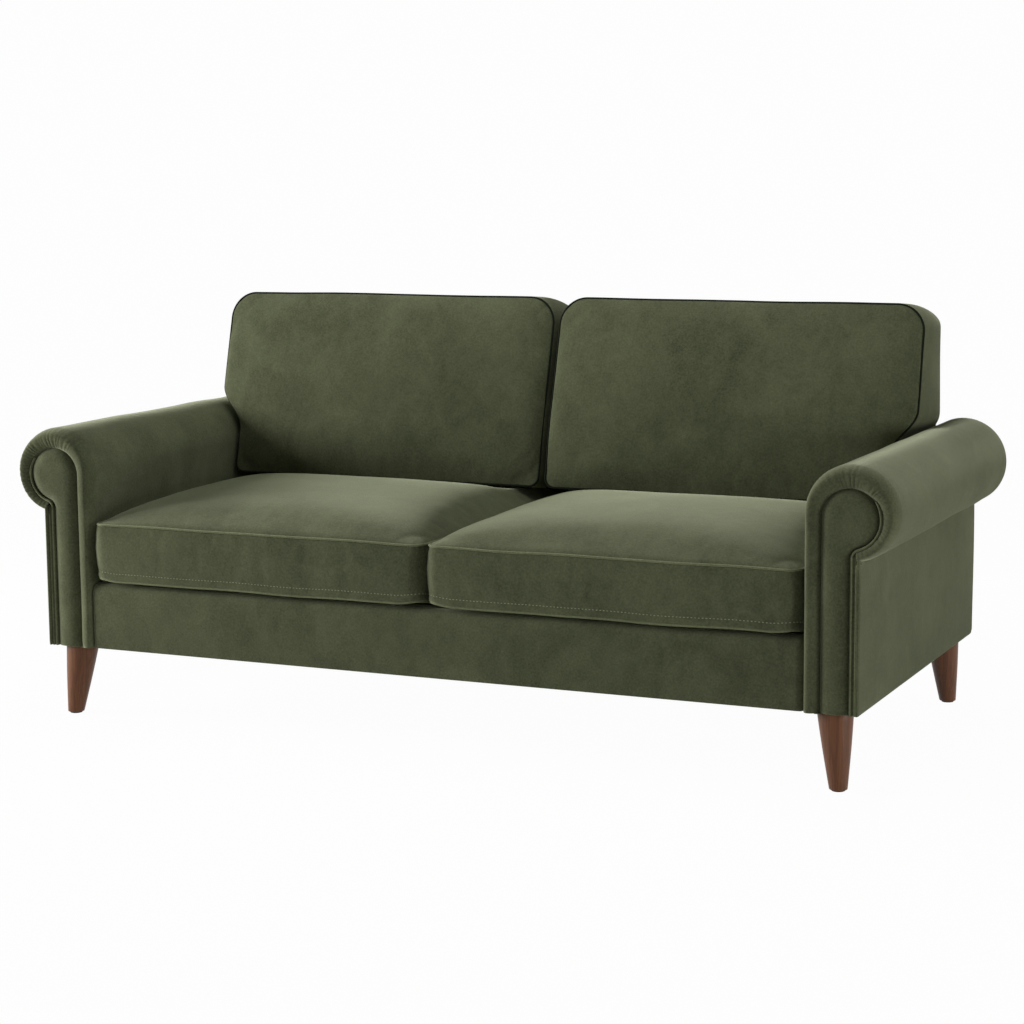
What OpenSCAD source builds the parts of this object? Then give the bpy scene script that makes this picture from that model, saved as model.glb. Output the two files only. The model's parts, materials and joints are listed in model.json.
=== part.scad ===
// Two-seater sofa with scroll arms, four loose cushions and turned legs.
// X runs to the right seen from the front, Y to the back and Z up, in millimetres.
// The origin is on the floor, under the middle of the sofa.

/* [Overall] */
// Width over both arm scrolls
sofa_w = 1940; // [1700:10:2300]
// Depth from the arm fronts to the outside back
sofa_d = 876; // [840:4:980]
// Height of the underside of the frame, which is the height of the legs
leg_h = 150; // [110:5:200]
// Height of the tops of the back cushions
back_cushion_top = 880; // [850:5:960]
// Height of the back frame
back_h = 790; // [740:5:820]

/* [Arms] */
// Height of the arm tops
arm_h = 620; // [590:5:660]
// Radius of the arm scroll
scroll_r = 91.5; // [80:0.5:105]
// Width of the upright part of an arm
arm_stem_w = 113; // [105:1:130]
// Thickness of the padding on the arm
arm_pad_t = 25; // [18:1:30]
// Width of the padded ring round the facing
ring_w = 35; // [30:1:42]
// Rounding of the front edge of the arm
ring_round = 30; // [20:1:34]
// Rounding of the rear edge of the arm
arm_rear_round = 14; // [6:1:20]
// How far the facing's head sits below the middle of the scroll
facing_drop = 8; // [0:1:12]
// Thickness of the facing
facing_t = 13; // [9:1:15]
// Radius of the fillet at the neck of the facing
neck_r = 18; // [10:1:26]
// Diameter of the welts beside the facing
welt_d = 5; // [3:0.5:6]
// Thickness of the outside arm panel
side_panel_t = 7; // [4:1:9]
// Rounding of the lower rear corner of the outside arm panel
side_corner_r = 12; // [4:1:30]

/* [Frame] */
// Thickness of the plywood arm boards
board_t = 18; // [15:1:25]
// Thickness of the bendy liner between the boards and the padding
liner_t = 3; // [2:0.5:5]
// Thickness of the rails
rail_t = 28; // [20:1:34]
// Width of the back posts
post_w = 36; // [25:1:60]
// Height of the back top rail
top_rail_h = 40; // [30:1:60]
// Distance from the back posts to the rail under the back of the seat
seat_back_rail_gap = 125; // [60:5:200]

/* [Legs] */
// Diameter of a leg at the top
leg_top_d = 70; // [50:1:72]
// Diameter of a leg at the foot
leg_foot_d = 35; // [24:1:48]
// Distance of the leg tops from the arm fronts
leg_front_inset = 45; // [38:1:60]
// Distance of the leg tops from the outside back
leg_rear_inset = 40; // [38:1:60]
// Distance of the leg tops from the outside of the arm stem
leg_side_inset = 56; // [46:1:60]
// How far a foot stands outside its leg top
leg_splay_side = 12; // [0:1:25]
// How far a front foot stands in front of its leg top
leg_splay_front = 16; // [0:1:25]
// How far a rear foot stands behind its leg top
leg_splay_rear = 8; // [0:1:25]
// Thickness of the glides under the feet
glide_t = 3; // [2:0.5:6]
// Diameter of the glides
glide_d = 26; // [16:1:34]
// Thickness of the steel leg plates
plate_t = 3; // [2:0.5:4]
// Side of the square leg plates
plate_w = 56; // [46:1:62]
// Diameter of the hanger bolts
bolt_d = 8; // [6:1:10]

/* [Seat] */
// Slope of the deck, down to the back
seat_pitch = 2; // [1:0.25:3.5]
// Height of the seat cushions' underside at the arm fronts
seat_z = 298; // [290:1:310]
// Thickness of a seat cushion at its front seams
seat_side_h = 121; // [100:1:140]
// Height of the crown above the top seam
seat_crown = 59; // [30:1:70]
// Gap between a seat cushion and the padding of the inside back
seat_rear_gap = 31; // [10:1:80]
// Corner radius of a seat cushion seen from above
seat_corner_r = 32; // [20:1:60]
// Thickness of the deck padding
deck_t = 18; // [10:1:20]
// Height of the front rail's cover
front_cover_h = 134; // [125:1:138]
// Thickness of the padding on the front rail
front_cover_t = 15; // [8:1:16]
// Rounding of the front rail's cover
front_cover_r = 24; // [10:1:30]
// How far the front rail's cover stands behind the arm fronts
front_cover_y = 7; // [2:1:12]
// Number of webbing straps from the front of the seat to its back
seat_straps = 12; // [8:1:14]

/* [Back] */
// Thickness of a back cushion at the bottom, from its back to its front seam
back_cushion_t = 236; // [200:1:250]
// Lean of the front of the back cushions
back_lean = 15; // [8:0.5:18]
// How far the top of a back cushion falls from its front seam to its back
back_top_fall = 24; // [10:1:30]
// Height where the back cushions rest on the seat cushions
back_rest_z = 458; // [440:1:470]
// Slope of the rear part of the seat cushions, where the back cushions rest
rest_slope = 5; // [4:0.5:8]
// How far the face of a back cushion crowns forward
back_crown = 32; // [20:1:50]
// How far the ears of the back cushions reach over the arms
ear_w = 54; // [0:1:60]
// Corner radius of the upper corners of a back cushion
back_corner_r = 68; // [40:1:90]
// Corner radius of the lower corners of a back cushion
back_foot_r = 30; // [20:1:50]
// Thickness of the padding on the inside back
back_pad_t = 12; // [8:1:16]
// Thickness of the outside back panel
back_panel_t = 5; // [3:1:8]
// Diameter of the piping on the front seam of the back cushions
piping_d = 6; // [4:0.5:8]
// Thickness of one layer of webbing
webbing_t = 2; // [1:0.5:3]
// Width of a webbing strap
webbing_w = 60; // [40:5:80]

/* [Hidden] */

velvet = "#4e5639";
velvet_dark = "#3d442d";
timber = "#b98d5c";
plywood = "#d0ab77";
walnut = "#64442e";
piping_dark = "#23281a";
steel = "#9a9c9e";
foam = "#d9cfae";
felt = "#2b2b29";

$fn = 96;
clear = 0.3;
eps = 0.01;

// The main planes
front_y = -sofa_d / 2;
back_y = sofa_d / 2;
scroll_x = sofa_w / 2 - scroll_r;
scroll_z = arm_h - scroll_r;
inner_x = scroll_x - scroll_r;
stem_x = inner_x + arm_stem_w;
board_x = inner_x + arm_pad_t + liner_t;
panel_x = stem_x - side_panel_t;
rail_z = leg_h + plate_t;

// The facing, its board and the welts: how far the board and the welts stand behind the arm
// front, the room outside the welts, and the gap between them
board_setback = 16;
welt_setback = 8;
welt_room = 8.5;
welt_gap = 3.4;
board_front_y = front_y + board_setback;
board_rear_y = back_y - back_panel_t;
board_r = scroll_r - arm_pad_t - liner_t;
facing_r = scroll_r - ring_w;
facing_z = scroll_z - facing_drop;
facing_inner_x = inner_x + ring_w;
facing_outer_x = stem_x - 2 * welt_d - welt_room;
welt_x = facing_outer_x + welt_d / 2 + clear;
second_welt_x = welt_x + welt_d + welt_gap;
welt_y = front_y + welt_setback;
return_t = board_setback - welt_setback - welt_d / 2;
// Angle above the level line where the first welt's pocket ends, and how much sooner the welt does
welt_end = 40;
welt_short = 4;
// Where the scroll's padding ends under the scroll, as an angle below the level line
junction = acos((stem_x - scroll_x) / scroll_r);
under_scroll_z = scroll_z - scroll_r * sin(junction);

// The back
post_y = back_y - back_panel_t - rail_t;
webbing_y = post_y - 2 * webbing_t;
back_pad_y = webbing_y - back_pad_t;
cushion_back_y = back_pad_y - clear;
seam_foot_y = cushion_back_y - back_cushion_t;
seat_rear_y = back_pad_y - seat_rear_gap;
post_top = back_h - back_pad_t - top_rail_h;

// The seat deck: heights of the sloping planes
function deck_z(y) = seat_z - clear - (y - front_y) * tan(seat_pitch);
front_rail_y = front_y + front_cover_y + front_cover_t;
seat_rail_y = post_y - seat_back_rail_gap - rail_t;
// Room for the webbing to sag above the centre rail, and the height of the rail under the back
sag_room = 34;
cross_rail_h = 70;

// The leg fixings: how deep a bolt sits in its leg, how far it stands out of the block, and the
// sizes of the block and of the tee nut that is pressed into it
bolt_in_leg = 42;
bolt_end_gap = 2;
bolt_proud = 4;
thread_clear = 0.1;
block_h = 45;
block_d = 60;
barrel_d = bolt_d + 4;
barrel_h = 14;
flange_d = bolt_d + 13;
flange_t = 1.5;

// A piece on one side of the sofa: 1 is the right side, and -1 mirrors it to the left
module side(s) {
    if (s < 0) mirror([1, 0, 0]) children();
    else children();
}

// Extrude a drawing of X and Z along Y, from y0 back to y1
module along_y(y0, y1) {
    translate([0, y1, 0]) rotate([90, 0, 0]) linear_extrude(y1 - y0) children();
}

// Extrude a drawing of Y and Z along X, from x0 to x1
module along_x(x0, x1) {
    translate([x0, 0, 0]) rotate([90, 0, 90]) linear_extrude(x1 - x0) children();
}

module block(x0, x1, y0, y1, z0, z1) {
    translate([x0, y0, z0]) cube([x1 - x0, y1 - y0, z1 - z0]);
}

module box2(x0, x1, z0, z1) {
    translate([x0, z0]) square([x1 - x0, z1 - z0]);
}

// Keyhole outline of the arm front: an upright stem with a round head
module keyhole(r, head_z, x0, x1, z0) {
    translate([scroll_x, head_z]) circle(r);
    box2(x0, x1, z0, head_z);
}

// The fillet at the neck of a keyhole outline
module neck(r, head_z, x1, fillet) {
    neck_z = head_z - sqrt(pow(r + fillet, 2) - pow(x1 + fillet - scroll_x, 2));
    lap = 1;
    difference() {
        polygon([[x1 - lap, neck_z], [x1 + fillet, neck_z], [scroll_x, head_z], [x1 - lap, head_z]]);
        translate([x1 + fillet, neck_z]) circle(fillet);
    }
}

// Turn a drawing of radius and -Y round the scroll: over the top from the outside to the
// inside, and on under the outside by the given angle
module round_scroll(under) {
    translate([scroll_x, 0, scroll_z]) {
        rotate([90, 0, 0]) rotate_extrude(angle = 180) children();
        mirror([0, 0, 1]) rotate([90, 0, 0]) rotate_extrude(angle = under) children();
    }
}

// A slab that follows the slope of the deck, from the height down to the drop below the deck
module under_deck(x0, x1, y0, y1, drop, bottom) {
    along_x(x0, x1) polygon([[y0, bottom], [y1, bottom], [y1, deck_z(y1) - drop], [y0, deck_z(y0) - drop]]);
}

// A cord of diameter d along a path that lies in a plane with normal b
function unit(v) = v / norm(v);
function cord_ring(p, t, b, d, sides) = let (a = cross(t, b))
    [for (i = [0 : sides - 1]) p + d / 2 * (cos(360 * i / sides) * a + sin(360 * i / sides) * b)];

module cord(path, b, d, sides, closed) {
    n = len(path);
    function at(i) = closed ? path[(i + n) % n] : path[min(max(i, 0), n - 1)];
    points = [for (i = [0 : n - 1]) each cord_ring(path[i], unit(at(i + 1) - at(i - 1)), b, d, sides)];
    walls = [for (i = [0 : closed ? n - 1 : n - 2]) for (j = [0 : sides - 1]) for (half = [0, 1])
        let (a = i * sides, c = ((i + 1) % n) * sides, k = (j + 1) % sides)
        half == 0 ? [a + j, a + k, c + k] : [a + j, c + k, c + j]];
    ends = closed ? [] : [for (j = [1 : sides - 2]) for (end = [0, 1])
        let (a = end * (n - 1) * sides) end == 0 ? [0, j + 1, j] : [a, a + j, a + j + 1]];
    polyhedron(points = points, faces = concat(walls, ends));
}

// Section through the arm padding, seen from above: it runs in from the arm's inside surface
// and along Y, and its front returns behind the facing
module pad_section() {
    behind_facing = 4;
    ring = ring_w + facing_drop + behind_facing;
    difference() {
        union() {
            translate([0, front_y]) square([ring, board_setback]);
            translate([0, front_y]) square([arm_pad_t, sofa_d]);
            translate([0, front_y]) square([ring_round, ring_round]);
        }
        translate([arm_pad_t, board_front_y]) square([ring, sofa_d]);
        difference() {
            translate([-1, front_y - 1]) square(ring_round + 1);
            translate([ring_round, front_y + ring_round]) circle(ring_round);
        }
        difference() {
            translate([-1, back_y - arm_rear_round]) square(arm_rear_round + 1);
            translate([arm_rear_round, back_y - arm_rear_round]) circle(arm_rear_round);
        }
    }
}

module arm_pad(s) {
    color(velvet) side(s) difference() {
        union() {
            translate([inner_x, 0, leg_h]) linear_extrude(scroll_z - leg_h) pad_section();
            round_scroll(junction) translate([scroll_r, 0]) mirror([1, 0])
                mirror([0, 1]) pad_section();
        }
        // the pocket that the facing and the welts lie in
        translate([scroll_x, board_front_y + eps, facing_z]) rotate([90, 0, 0])
            cylinder(h = board_setback + 1, r = facing_r + clear);
        block(facing_inner_x - clear, second_welt_x + welt_d / 2 + clear, front_y - 1,
            board_front_y + eps, 0, facing_z);
        intersection() {
            translate([scroll_x, board_front_y + eps, facing_z]) rotate([90, 0, 0])
                cylinder(h = board_setback + 1, r = facing_r + welt_d + 2 * clear);
            block(scroll_x, sofa_w, front_y - 2, back_y, 0, facing_z + facing_r * sin(welt_end));
        }
        // the base rails and the deck pass under the inside arm
        under_deck(inner_x - 1, board_x, front_rail_y, back_y + 1, arm_gap(), 0);
    }
}

// The inside arm stops just above the webbing
function arm_gap() = deck_t + webbing_t - clear;

module arm_liner(s) {
    short_by = 15;
    color(plywood) side(s) difference() {
        union() {
            block(board_x - liner_t, board_x, board_front_y, board_rear_y, rail_z, scroll_z);
            round_scroll(junction - short_by)
                translate([board_r, -board_rear_y]) square([liner_t, board_rear_y - board_front_y]);
        }
        under_deck(inner_x - 1, board_x + 1, front_y, back_y + 1, arm_gap(), 0);
    }
}

module arm_board(s, y0) {
    color(plywood) side(s) along_y(y0, y0 + board_t)
        keyhole(board_r, scroll_z, board_x, panel_x, rail_z);
}

module arm_facing(s) {
    color(velvet) side(s) along_y(board_front_y - facing_t, board_front_y) {
        keyhole(facing_r, facing_z, facing_inner_x, facing_outer_x, leg_h);
        neck(facing_r, facing_z, facing_outer_x, neck_r);
    }
}

// The two cords beside the facing. The first follows the facing's edge round the neck
// and up the head, and the second turns away under the scroll.
module arm_welts(s) {
    gap = welt_d / 2 + clear;
    neck_x = facing_outer_x + neck_r;
    neck_z = facing_z - sqrt(pow(facing_r + neck_r, 2) - pow(neck_x - scroll_x, 2));
    neck_turn = atan2(facing_z - neck_z, neck_x - scroll_x);
    neck_steps = 5;
    head_steps = 12;
    sides = 10;
    below_scroll = 6;
    second_top = under_scroll_z - gap - below_scroll;
    first = concat([[welt_x, welt_y, leg_h]],
        [for (i = [0 : neck_steps]) let (a = 180 - neck_turn * i / neck_steps, r = neck_r - gap)
            [neck_x + r * cos(a), welt_y, neck_z + r * sin(a)]],
        [for (i = [1 : head_steps])
            let (a = mix(-neck_turn, welt_end - welt_short, i / head_steps), r = facing_r + gap)
            [scroll_x + r * cos(a), welt_y, facing_z + r * sin(a)]]);
    second = [[second_welt_x, welt_y, leg_h], [second_welt_x, welt_y, second_top]];
    color(velvet_dark) side(s) {
        cord(first, [0, 1, 0], welt_d, sides, false);
        cord(second, [0, 1, 0], welt_d, sides, false);
    }
}

// The outside of the arm: a flat panel that returns a little way round the front
module arm_side_panel(s) {
    corner = stem_x - second_welt_x - welt_d / 2 - clear;
    top_z = under_scroll_z - clear;
    color(velvet) side(s) difference() {
        union() {
            along_x(panel_x, stem_x) difference() {
                box2(welt_y, back_y, leg_h, top_z);
                translate([back_y - side_corner_r, leg_h - 1]) difference() {
                    square(side_corner_r + 1);
                    translate([0, side_corner_r + 1]) circle(side_corner_r);
                }
            }
            block(facing_outer_x + clear, stem_x, board_front_y - return_t, board_front_y,
                leg_h, top_z - neck_r);
            block(second_welt_x + welt_d / 2 + clear, stem_x, front_y + corner, board_front_y,
                leg_h, top_z);
            translate([stem_x - corner, front_y + corner, leg_h]) cylinder(h = top_z - leg_h, r = corner);
        }
        block(second_welt_x - welt_d, second_welt_x + welt_d / 2 + clear, front_y - 1,
            board_front_y - return_t, 0, arm_h);
    }
}

module arm_rear_panel(s) {
    color(velvet) side(s) along_y(board_rear_y, back_y)
        keyhole(scroll_r - arm_pad_t - clear, scroll_z, inner_x + arm_pad_t + clear,
            panel_x - clear, leg_h);
}

module arm_top_rail(s) {
    rail_w = 60;
    rail_d = 34;
    color(timber) side(s) block(scroll_x - rail_w / 2, scroll_x + rail_w / 2,
        board_front_y + board_t, board_rear_y - board_t, scroll_z, scroll_z + rail_d);
}

module arm_tack_rail(s) {
    rail_d = 40;
    color(timber) side(s) block(panel_x - rail_t, panel_x, board_front_y + board_t,
        board_rear_y - board_t, under_scroll_z - rail_d, under_scroll_z);
}

// The base of the frame. The tops of its rails follow the webbing's slope.
module front_rail() {
    color(timber) under_deck(-board_x, board_x, front_rail_y, front_rail_y + rail_t,
        deck_t + webbing_t, rail_z);
}

module back_rail() {
    color(timber) under_deck(-board_x, board_x, post_y, post_y + rail_t, deck_t + 2 * webbing_t, rail_z);
}

module end_rail(s) {
    color(timber) side(s) under_deck(panel_x - rail_t, panel_x, board_front_y + board_t,
        board_rear_y - board_t, deck_t + 2 * webbing_t, rail_z);
}

module seat_back_rail() {
    color(timber) under_deck(-panel_x + rail_t, panel_x - rail_t, seat_rail_y, seat_rail_y + rail_t,
        deck_t + webbing_t, cross_rail_z());
}

function cross_rail_z() = deck_z(seat_rail_y + rail_t) - deck_t - webbing_t - cross_rail_h;

module centre_rail() {
    color(timber) difference() {
        under_deck(-rail_t / 2, rail_t / 2, front_rail_y + rail_t, post_y, deck_t + sag_room, rail_z);
        block(-rail_t, rail_t, seat_rail_y, seat_rail_y + rail_t, cross_rail_z(), arm_h);
    }
}

// Straps from the front rail to the rail under the back, and straps across that pass under them
module seat_webbing() {
    x1 = inner_x - webbing_w;
    rows = 5;
    y0 = front_rail_y + rail_t + webbing_w;
    y1 = seat_rail_y - 2 * webbing_w;
    color(felt) {
        for (i = [0 : seat_straps - 1]) {
            x = mix(-x1, x1, i / (seat_straps - 1));
            strap(x - webbing_w / 2, x + webbing_w / 2, front_rail_y + rail_t / 2,
                seat_rail_y + rail_t, deck_t);
        }
        for (i = [0 : rows - 1]) {
            y = mix(y0, y1, i / (rows - 1));
            strap(-panel_x, panel_x, y, y + webbing_w, deck_t + webbing_t);
        }
    }
}

module strap(x0, x1, y0, y1, drop) {
    along_x(x0, x1) polygon([[y0, deck_z(y0) - drop], [y0, deck_z(y0) - drop - webbing_t],
        [y1, deck_z(y1) - drop - webbing_t], [y1, deck_z(y1) - drop]]);
}

// The frame of the back
module back_post(x) {
    color(timber) block(x - post_w / 2, x + post_w / 2, post_y, post_y + rail_t, back_rail_z(), post_top);
}

function back_rail_z() = deck_z(post_y) - deck_t - 2 * webbing_t;

module back_top_rail() {
    color(timber) block(-inner_x + clear, inner_x - clear, post_y, post_y + rail_t,
        post_top, back_h - back_pad_t);
}

module back_webbing() {
    rows = 4;
    columns = 9;
    low = back_rail_z() + webbing_w;
    high = post_top - webbing_w;
    x1 = inner_x - 2 * webbing_w;
    color(felt) {
        for (i = [0 : rows - 1]) {
            z = mix(low, high - webbing_w, i / (rows - 1));
            block(-inner_x + clear, inner_x - clear, post_y - webbing_t, post_y, z, z + webbing_w);
        }
        for (i = [0 : columns - 1]) {
            x = mix(-x1, x1, i / (columns - 1));
            block(x - webbing_w / 2, x + webbing_w / 2, webbing_y, post_y - webbing_t, low, high);
        }
    }
}

module inside_back_pad() {
    low = deck_z(back_pad_y) - deck_t;
    color(velvet) along_x(-inner_x + clear, inner_x - clear) difference() {
        union() {
            box2(back_pad_y, webbing_y, low, back_h - back_pad_t);
            box2(back_pad_y + back_pad_t, back_y - back_pad_t, back_h - back_pad_t, back_h);
            translate([back_pad_y + back_pad_t, back_h - back_pad_t]) circle(back_pad_t);
            translate([back_y - back_pad_t, back_h - back_pad_t]) circle(back_pad_t);
        }
        box2(webbing_y, back_y + 1, low - 1, back_h - back_pad_t);
    }
}

module outside_back_panel() {
    color(velvet) along_y(board_rear_y, back_y) {
        box2(-inner_x + clear, inner_x - clear, leg_h, back_h - back_pad_t);
        box2(-inner_x - arm_pad_t, inner_x + arm_pad_t, leg_h, back_rail_z());
    }
}

// The legs and what fastens them
function leg_x() = stem_x - leg_side_inset;
function leg_y(rear) = rear ? back_y - leg_rear_inset : front_y + leg_front_inset;
function splay_y(rear) = rear ? leg_splay_rear : -leg_splay_front;

module each_leg() {
    for (s = [-1, 1]) for (rear = [false, true])
        translate([s * leg_x(), leg_y(rear), 0]) children();
}

module leg(s, rear) {
    turn = atan2(splay_y(rear), leg_splay_side);
    lean = atan2(norm([splay_y(rear), leg_splay_side]), leg_h);
    length = leg_h / cos(lean);
    over = 12;
    taper = (leg_top_d - leg_foot_d) / 2 / length;
    color(walnut) side(s) translate([leg_x(), leg_y(rear), 0]) difference() {
        intersection() {
            translate([0, 0, leg_h]) rotate([0, 0, turn]) rotate([0, -lean, 0])
                translate([0, 0, -length - over])
                cylinder(h = length + 2 * over, r1 = leg_foot_d / 2 - taper * over,
                    r2 = leg_top_d / 2 + taper * over);
            translate([-leg_top_d, -leg_top_d, glide_t])
                cube([2 * leg_top_d, 2 * leg_top_d, leg_h - glide_t]);
        }
        translate([0, 0, leg_h - bolt_in_leg]) cylinder(h = leg_h, d = bolt_d + thread_clear);
    }
}

module foot_glides() {
    color(felt) for (s = [-1, 1]) for (rear = [false, true])
        translate([s * (leg_x() + leg_splay_side), leg_y(rear) + splay_y(rear), 0])
            cylinder(h = glide_t, d = glide_d);
}

module leg_plates() {
    color(steel) each_leg() difference() {
        translate([-plate_w / 2, -plate_w / 2, leg_h]) cube([plate_w, plate_w, plate_t]);
        cylinder(h = arm_h, d = bolt_d + 2 * clear);
    }
}

module leg_blocks() {
    wide = panel_x - rail_t - board_x;
    color(timber) for (s = [-1, 1]) for (rear = [false, true]) side(s) difference() {
        y = rear ? board_rear_y - board_t - block_d : board_front_y + board_t;
        block(board_x, board_x + wide, y, y + block_d, rail_z, rail_z + block_h);
        translate([leg_x(), leg_y(rear), 0]) cylinder(h = arm_h, d = barrel_d + thread_clear);
    }
}

module tee_nuts() {
    color(steel) each_leg() difference() {
        union() {
            translate([0, 0, rail_z + block_h - barrel_h]) cylinder(h = barrel_h, d = barrel_d);
            translate([0, 0, rail_z + block_h]) cylinder(h = flange_t, d = flange_d);
        }
        cylinder(h = arm_h, d = bolt_d + thread_clear);
    }
}

module hanger_bolts() {
    z0 = leg_h - bolt_in_leg + bolt_end_gap;
    z1 = rail_z + block_h + bolt_proud;
    color(steel) each_leg() translate([0, 0, z0]) cylinder(h = z1 - z0, d = bolt_d);
}

// The seat: rail cover, deck and dust cover
module front_rail_cover() {
    y0 = front_y + front_cover_y;
    y1 = front_rail_y + rail_t;
    r = front_cover_r;
    x = inner_x - clear;
    top = leg_h + front_cover_h;
    color(velvet) difference() {
        union() {
            block(-x + r, x - r, y0 + r, y1, leg_h, top);
            block(-x + r, x - r, y0, y0 + r, leg_h, top - r);
            block(-x, x, y0 + r, y1, leg_h, top - r);
            translate([-x + r, y0 + r, top - r]) rotate([0, 90, 0]) cylinder(h = 2 * (x - r), r = r);
            for (s = [-1, 1]) side(s) {
                translate([x - r, y0 + r, leg_h]) cylinder(h = top - r - leg_h, r = r);
                translate([x - r, y0 + r, top - r]) rotate([-90, 0, 0]) cylinder(h = y1 - y0 - r, r = r);
                translate([x - r, y0 + r, top - r]) sphere(r);
            }
        }
        under_deck(-sofa_w, sofa_w, front_rail_y, y1 + 1, deck_t - clear, rail_z);
        block(-sofa_w, sofa_w, front_rail_y + rail_t / 2, y1 + 1, 0, rail_z);
        block(-sofa_w, sofa_w, y1, y1 + 2 * r, 0, arm_h);
    }
}

module deck_pad() {
    y0 = front_rail_y + rail_t + clear;
    y1 = back_pad_y - clear;
    x = inner_x - clear;
    t = deck_t - clear;
    color(felt) along_x(-x, x) polygon([[y0, deck_z(y0)], [y0, deck_z(y0) - t],
        [y1, deck_z(y1) - t], [y1, deck_z(y1)]]);
}

module dust_cover() {
    cloth_t = 1.5;
    plate_gap = 2;
    around = plate_w / 2 + plate_gap;
    color(felt) difference() {
        block(-panel_x + clear, panel_x - clear, front_rail_y + rail_t / 2 + clear, board_rear_y,
            rail_z - cloth_t, rail_z);
        each_leg() block(-around, around, -around, around, 0, leg_h + 2 * plate_t);
    }
}

// The cushions. A cushion is a stack of rings round an outline, from its flat
// side, round its border and over its crown.
function corner(x, z, r, a, n) = [for (i = [0 : n])
    [x + r * cos(a + 90 * i / n), z + r * sin(a + 90 * i / n)]];
function mix(a, b, t) = a + (b - a) * t;
function run_points(a, b, n) = [for (i = [1 : n - 1]) mix(a, b, i / n)];
function centre_of(o) = [(min([for (p = o) p[0]]) + max([for (p = o) p[0]])) / 2,
    (min([for (p = o) p[1]]) + max([for (p = o) p[1]])) / 2];

// How much of the crown stands at a share s of the way from the middle c to the outline's point p,
// where h holds the outline's half sizes. The crown falls away towards the sides by a share of
// its height, and drops steeply at the seam.
side_fall = 0.55;
seam_steepness = 12;
function hump(u) = 1 - side_fall * pow(abs(u), 3);
function crown_at(p, c, h, s) = sqrt(1 - pow(s, seam_steepness)) * hump(s * (p[0] - c[0]) / h[0])
    * hump(s * (p[1] - c[1]) / h[1]);
function half_of(o) = [max([for (p = o) p[0]]) - min([for (p = o) p[0]]),
    max([for (p = o) p[1]]) - min([for (p = o) p[1]])] / 2;
crown_scales = [0.975, 0.93, 0.86, 0.75, 0.58, 0.36, 0.14];
flat_scales = [0.5, 0.9, 0.985];

// Triangles between rings of n points, with a point at each end
function ring_faces(n, rings) = concat(
    [for (j = [0 : n - 1]) [0, 1 + (j + 1) % n, 1 + j]],
    [for (k = [0 : rings - 2]) for (j = [0 : n - 1]) for (half = [0, 1])
        let (a = 1 + k * n + j, b = 1 + k * n + (j + 1) % n)
        half == 0 ? [a, b, b + n] : [a, b + n, a + n]],
    [for (j = [0 : n - 1]) [1 + (rings - 1) * n + j, 1 + (rings - 1) * n + (j + 1) % n, 1 + rings * n]]);

// Draw an outline in square to its own line by a distance, or towards its middle by a share
function inset_ring(o, d) = let (n = len(o)) [for (i = [0 : n - 1])
    let (t = unit(o[(i + 1) % n] - o[(i + n - 1) % n])) o[i] + d * [-t[1], t[0]]];
function shrunk_ring(o, c, s) = [for (p = o) c + (p - c) * s];

// Steps across a border, round a corner, along a side and up an ear, and how far the seams of a
// seat cushion are drawn in
border_n = 4;
corner_n = 5;
side_n = 6;
ear_n = 6;
draw_in = 5;

// Seat cushion, seen from above: a rectangle with round corners, whose sides pull in
function seat_outline() = let (x0 = clear, x1 = inner_x - clear, y0 = front_y + 1,
    y1 = seat_rear_y, r = seat_corner_r) concat(
    corner(x1 - r, y0 + r, r, -90, corner_n), run_points([x1, y0 + r], [x1, y1 - r], side_n),
    corner(x1 - r, y1 - r, r, 0, corner_n), run_points([x1 - r, y1], [x0 + r, y1], side_n),
    corner(x0 + r, y1 - r, r, 90, corner_n), run_points([x0, y1 - r], [x0, y0 + r], side_n),
    corner(x0 + r, y0 + r, r, 180, corner_n), run_points([x0 + r, y0], [x1 - r, y0], side_n));

// The seat cushions' underside, and the slope behind the rest line that carries the back cushions
rest_ahead = 10;
function seat_under(y) = deck_z(y) + clear;
function rest_z(y) = back_rest_z + (seam_foot_y - rest_ahead - y) * tan(rest_slope);
function seat_top(p, h) = min(seat_under(front_y) + seat_side_h + h, rest_z(p[1]));

module seat_cushion() {
    o = seat_outline();
    seam_line = inset_ring(o, draw_in);
    c = centre_of(o);
    h = half_of(o);
    n = len(o);
    lower_seam = 10;
    rings = concat(
        [for (u = flat_scales) [for (q = shrunk_ring(seam_line, c, u)) [q[0], q[1], seat_under(q[1])]]],
        [for (k = [0 : border_n]) let (t = k / border_n)
            [for (q = inset_ring(o, draw_in * pow(2 * t - 1, 2)))
                [q[0], q[1], mix(seat_under(q[1]) + lower_seam, seat_top(q, 0), t)]]],
        [for (u = crown_scales) [for (p = seam_line) let (q = mix(c, p, u))
            [q[0], q[1], seat_top(q, seat_crown * crown_at(p, c, h, u))]]]);
    points = concat([[c[0], c[1], seat_under(c[1])]], [for (r = rings) each r],
        [[c[0], c[1], seat_top(c, seat_crown)]]);
    polyhedron(points = points, faces = ring_faces(n, len(rings)));
}

// How far a core stays inside its cover's border, and under its faces
core_in = 24;
core_skin = 14;

module seat_core_block() {
    y0 = front_y + core_in;
    y1 = seat_rear_y - core_in;
    along_x(clear + core_in, inner_x - clear - core_in) polygon([
        [y0, seat_under(y0) + core_skin], [y1, seat_under(y1) + core_skin],
        [y1, seat_under(y1) + seat_side_h - core_skin], [y0, seat_under(y0) + seat_side_h - core_skin]]);
}

module seat_cover(s) {
    color(velvet) side(s) difference() {
        seat_cushion();
        seat_core_block();
    }
}

module seat_core(s) {
    color(foam) side(s) seat_core_block();
}

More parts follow.
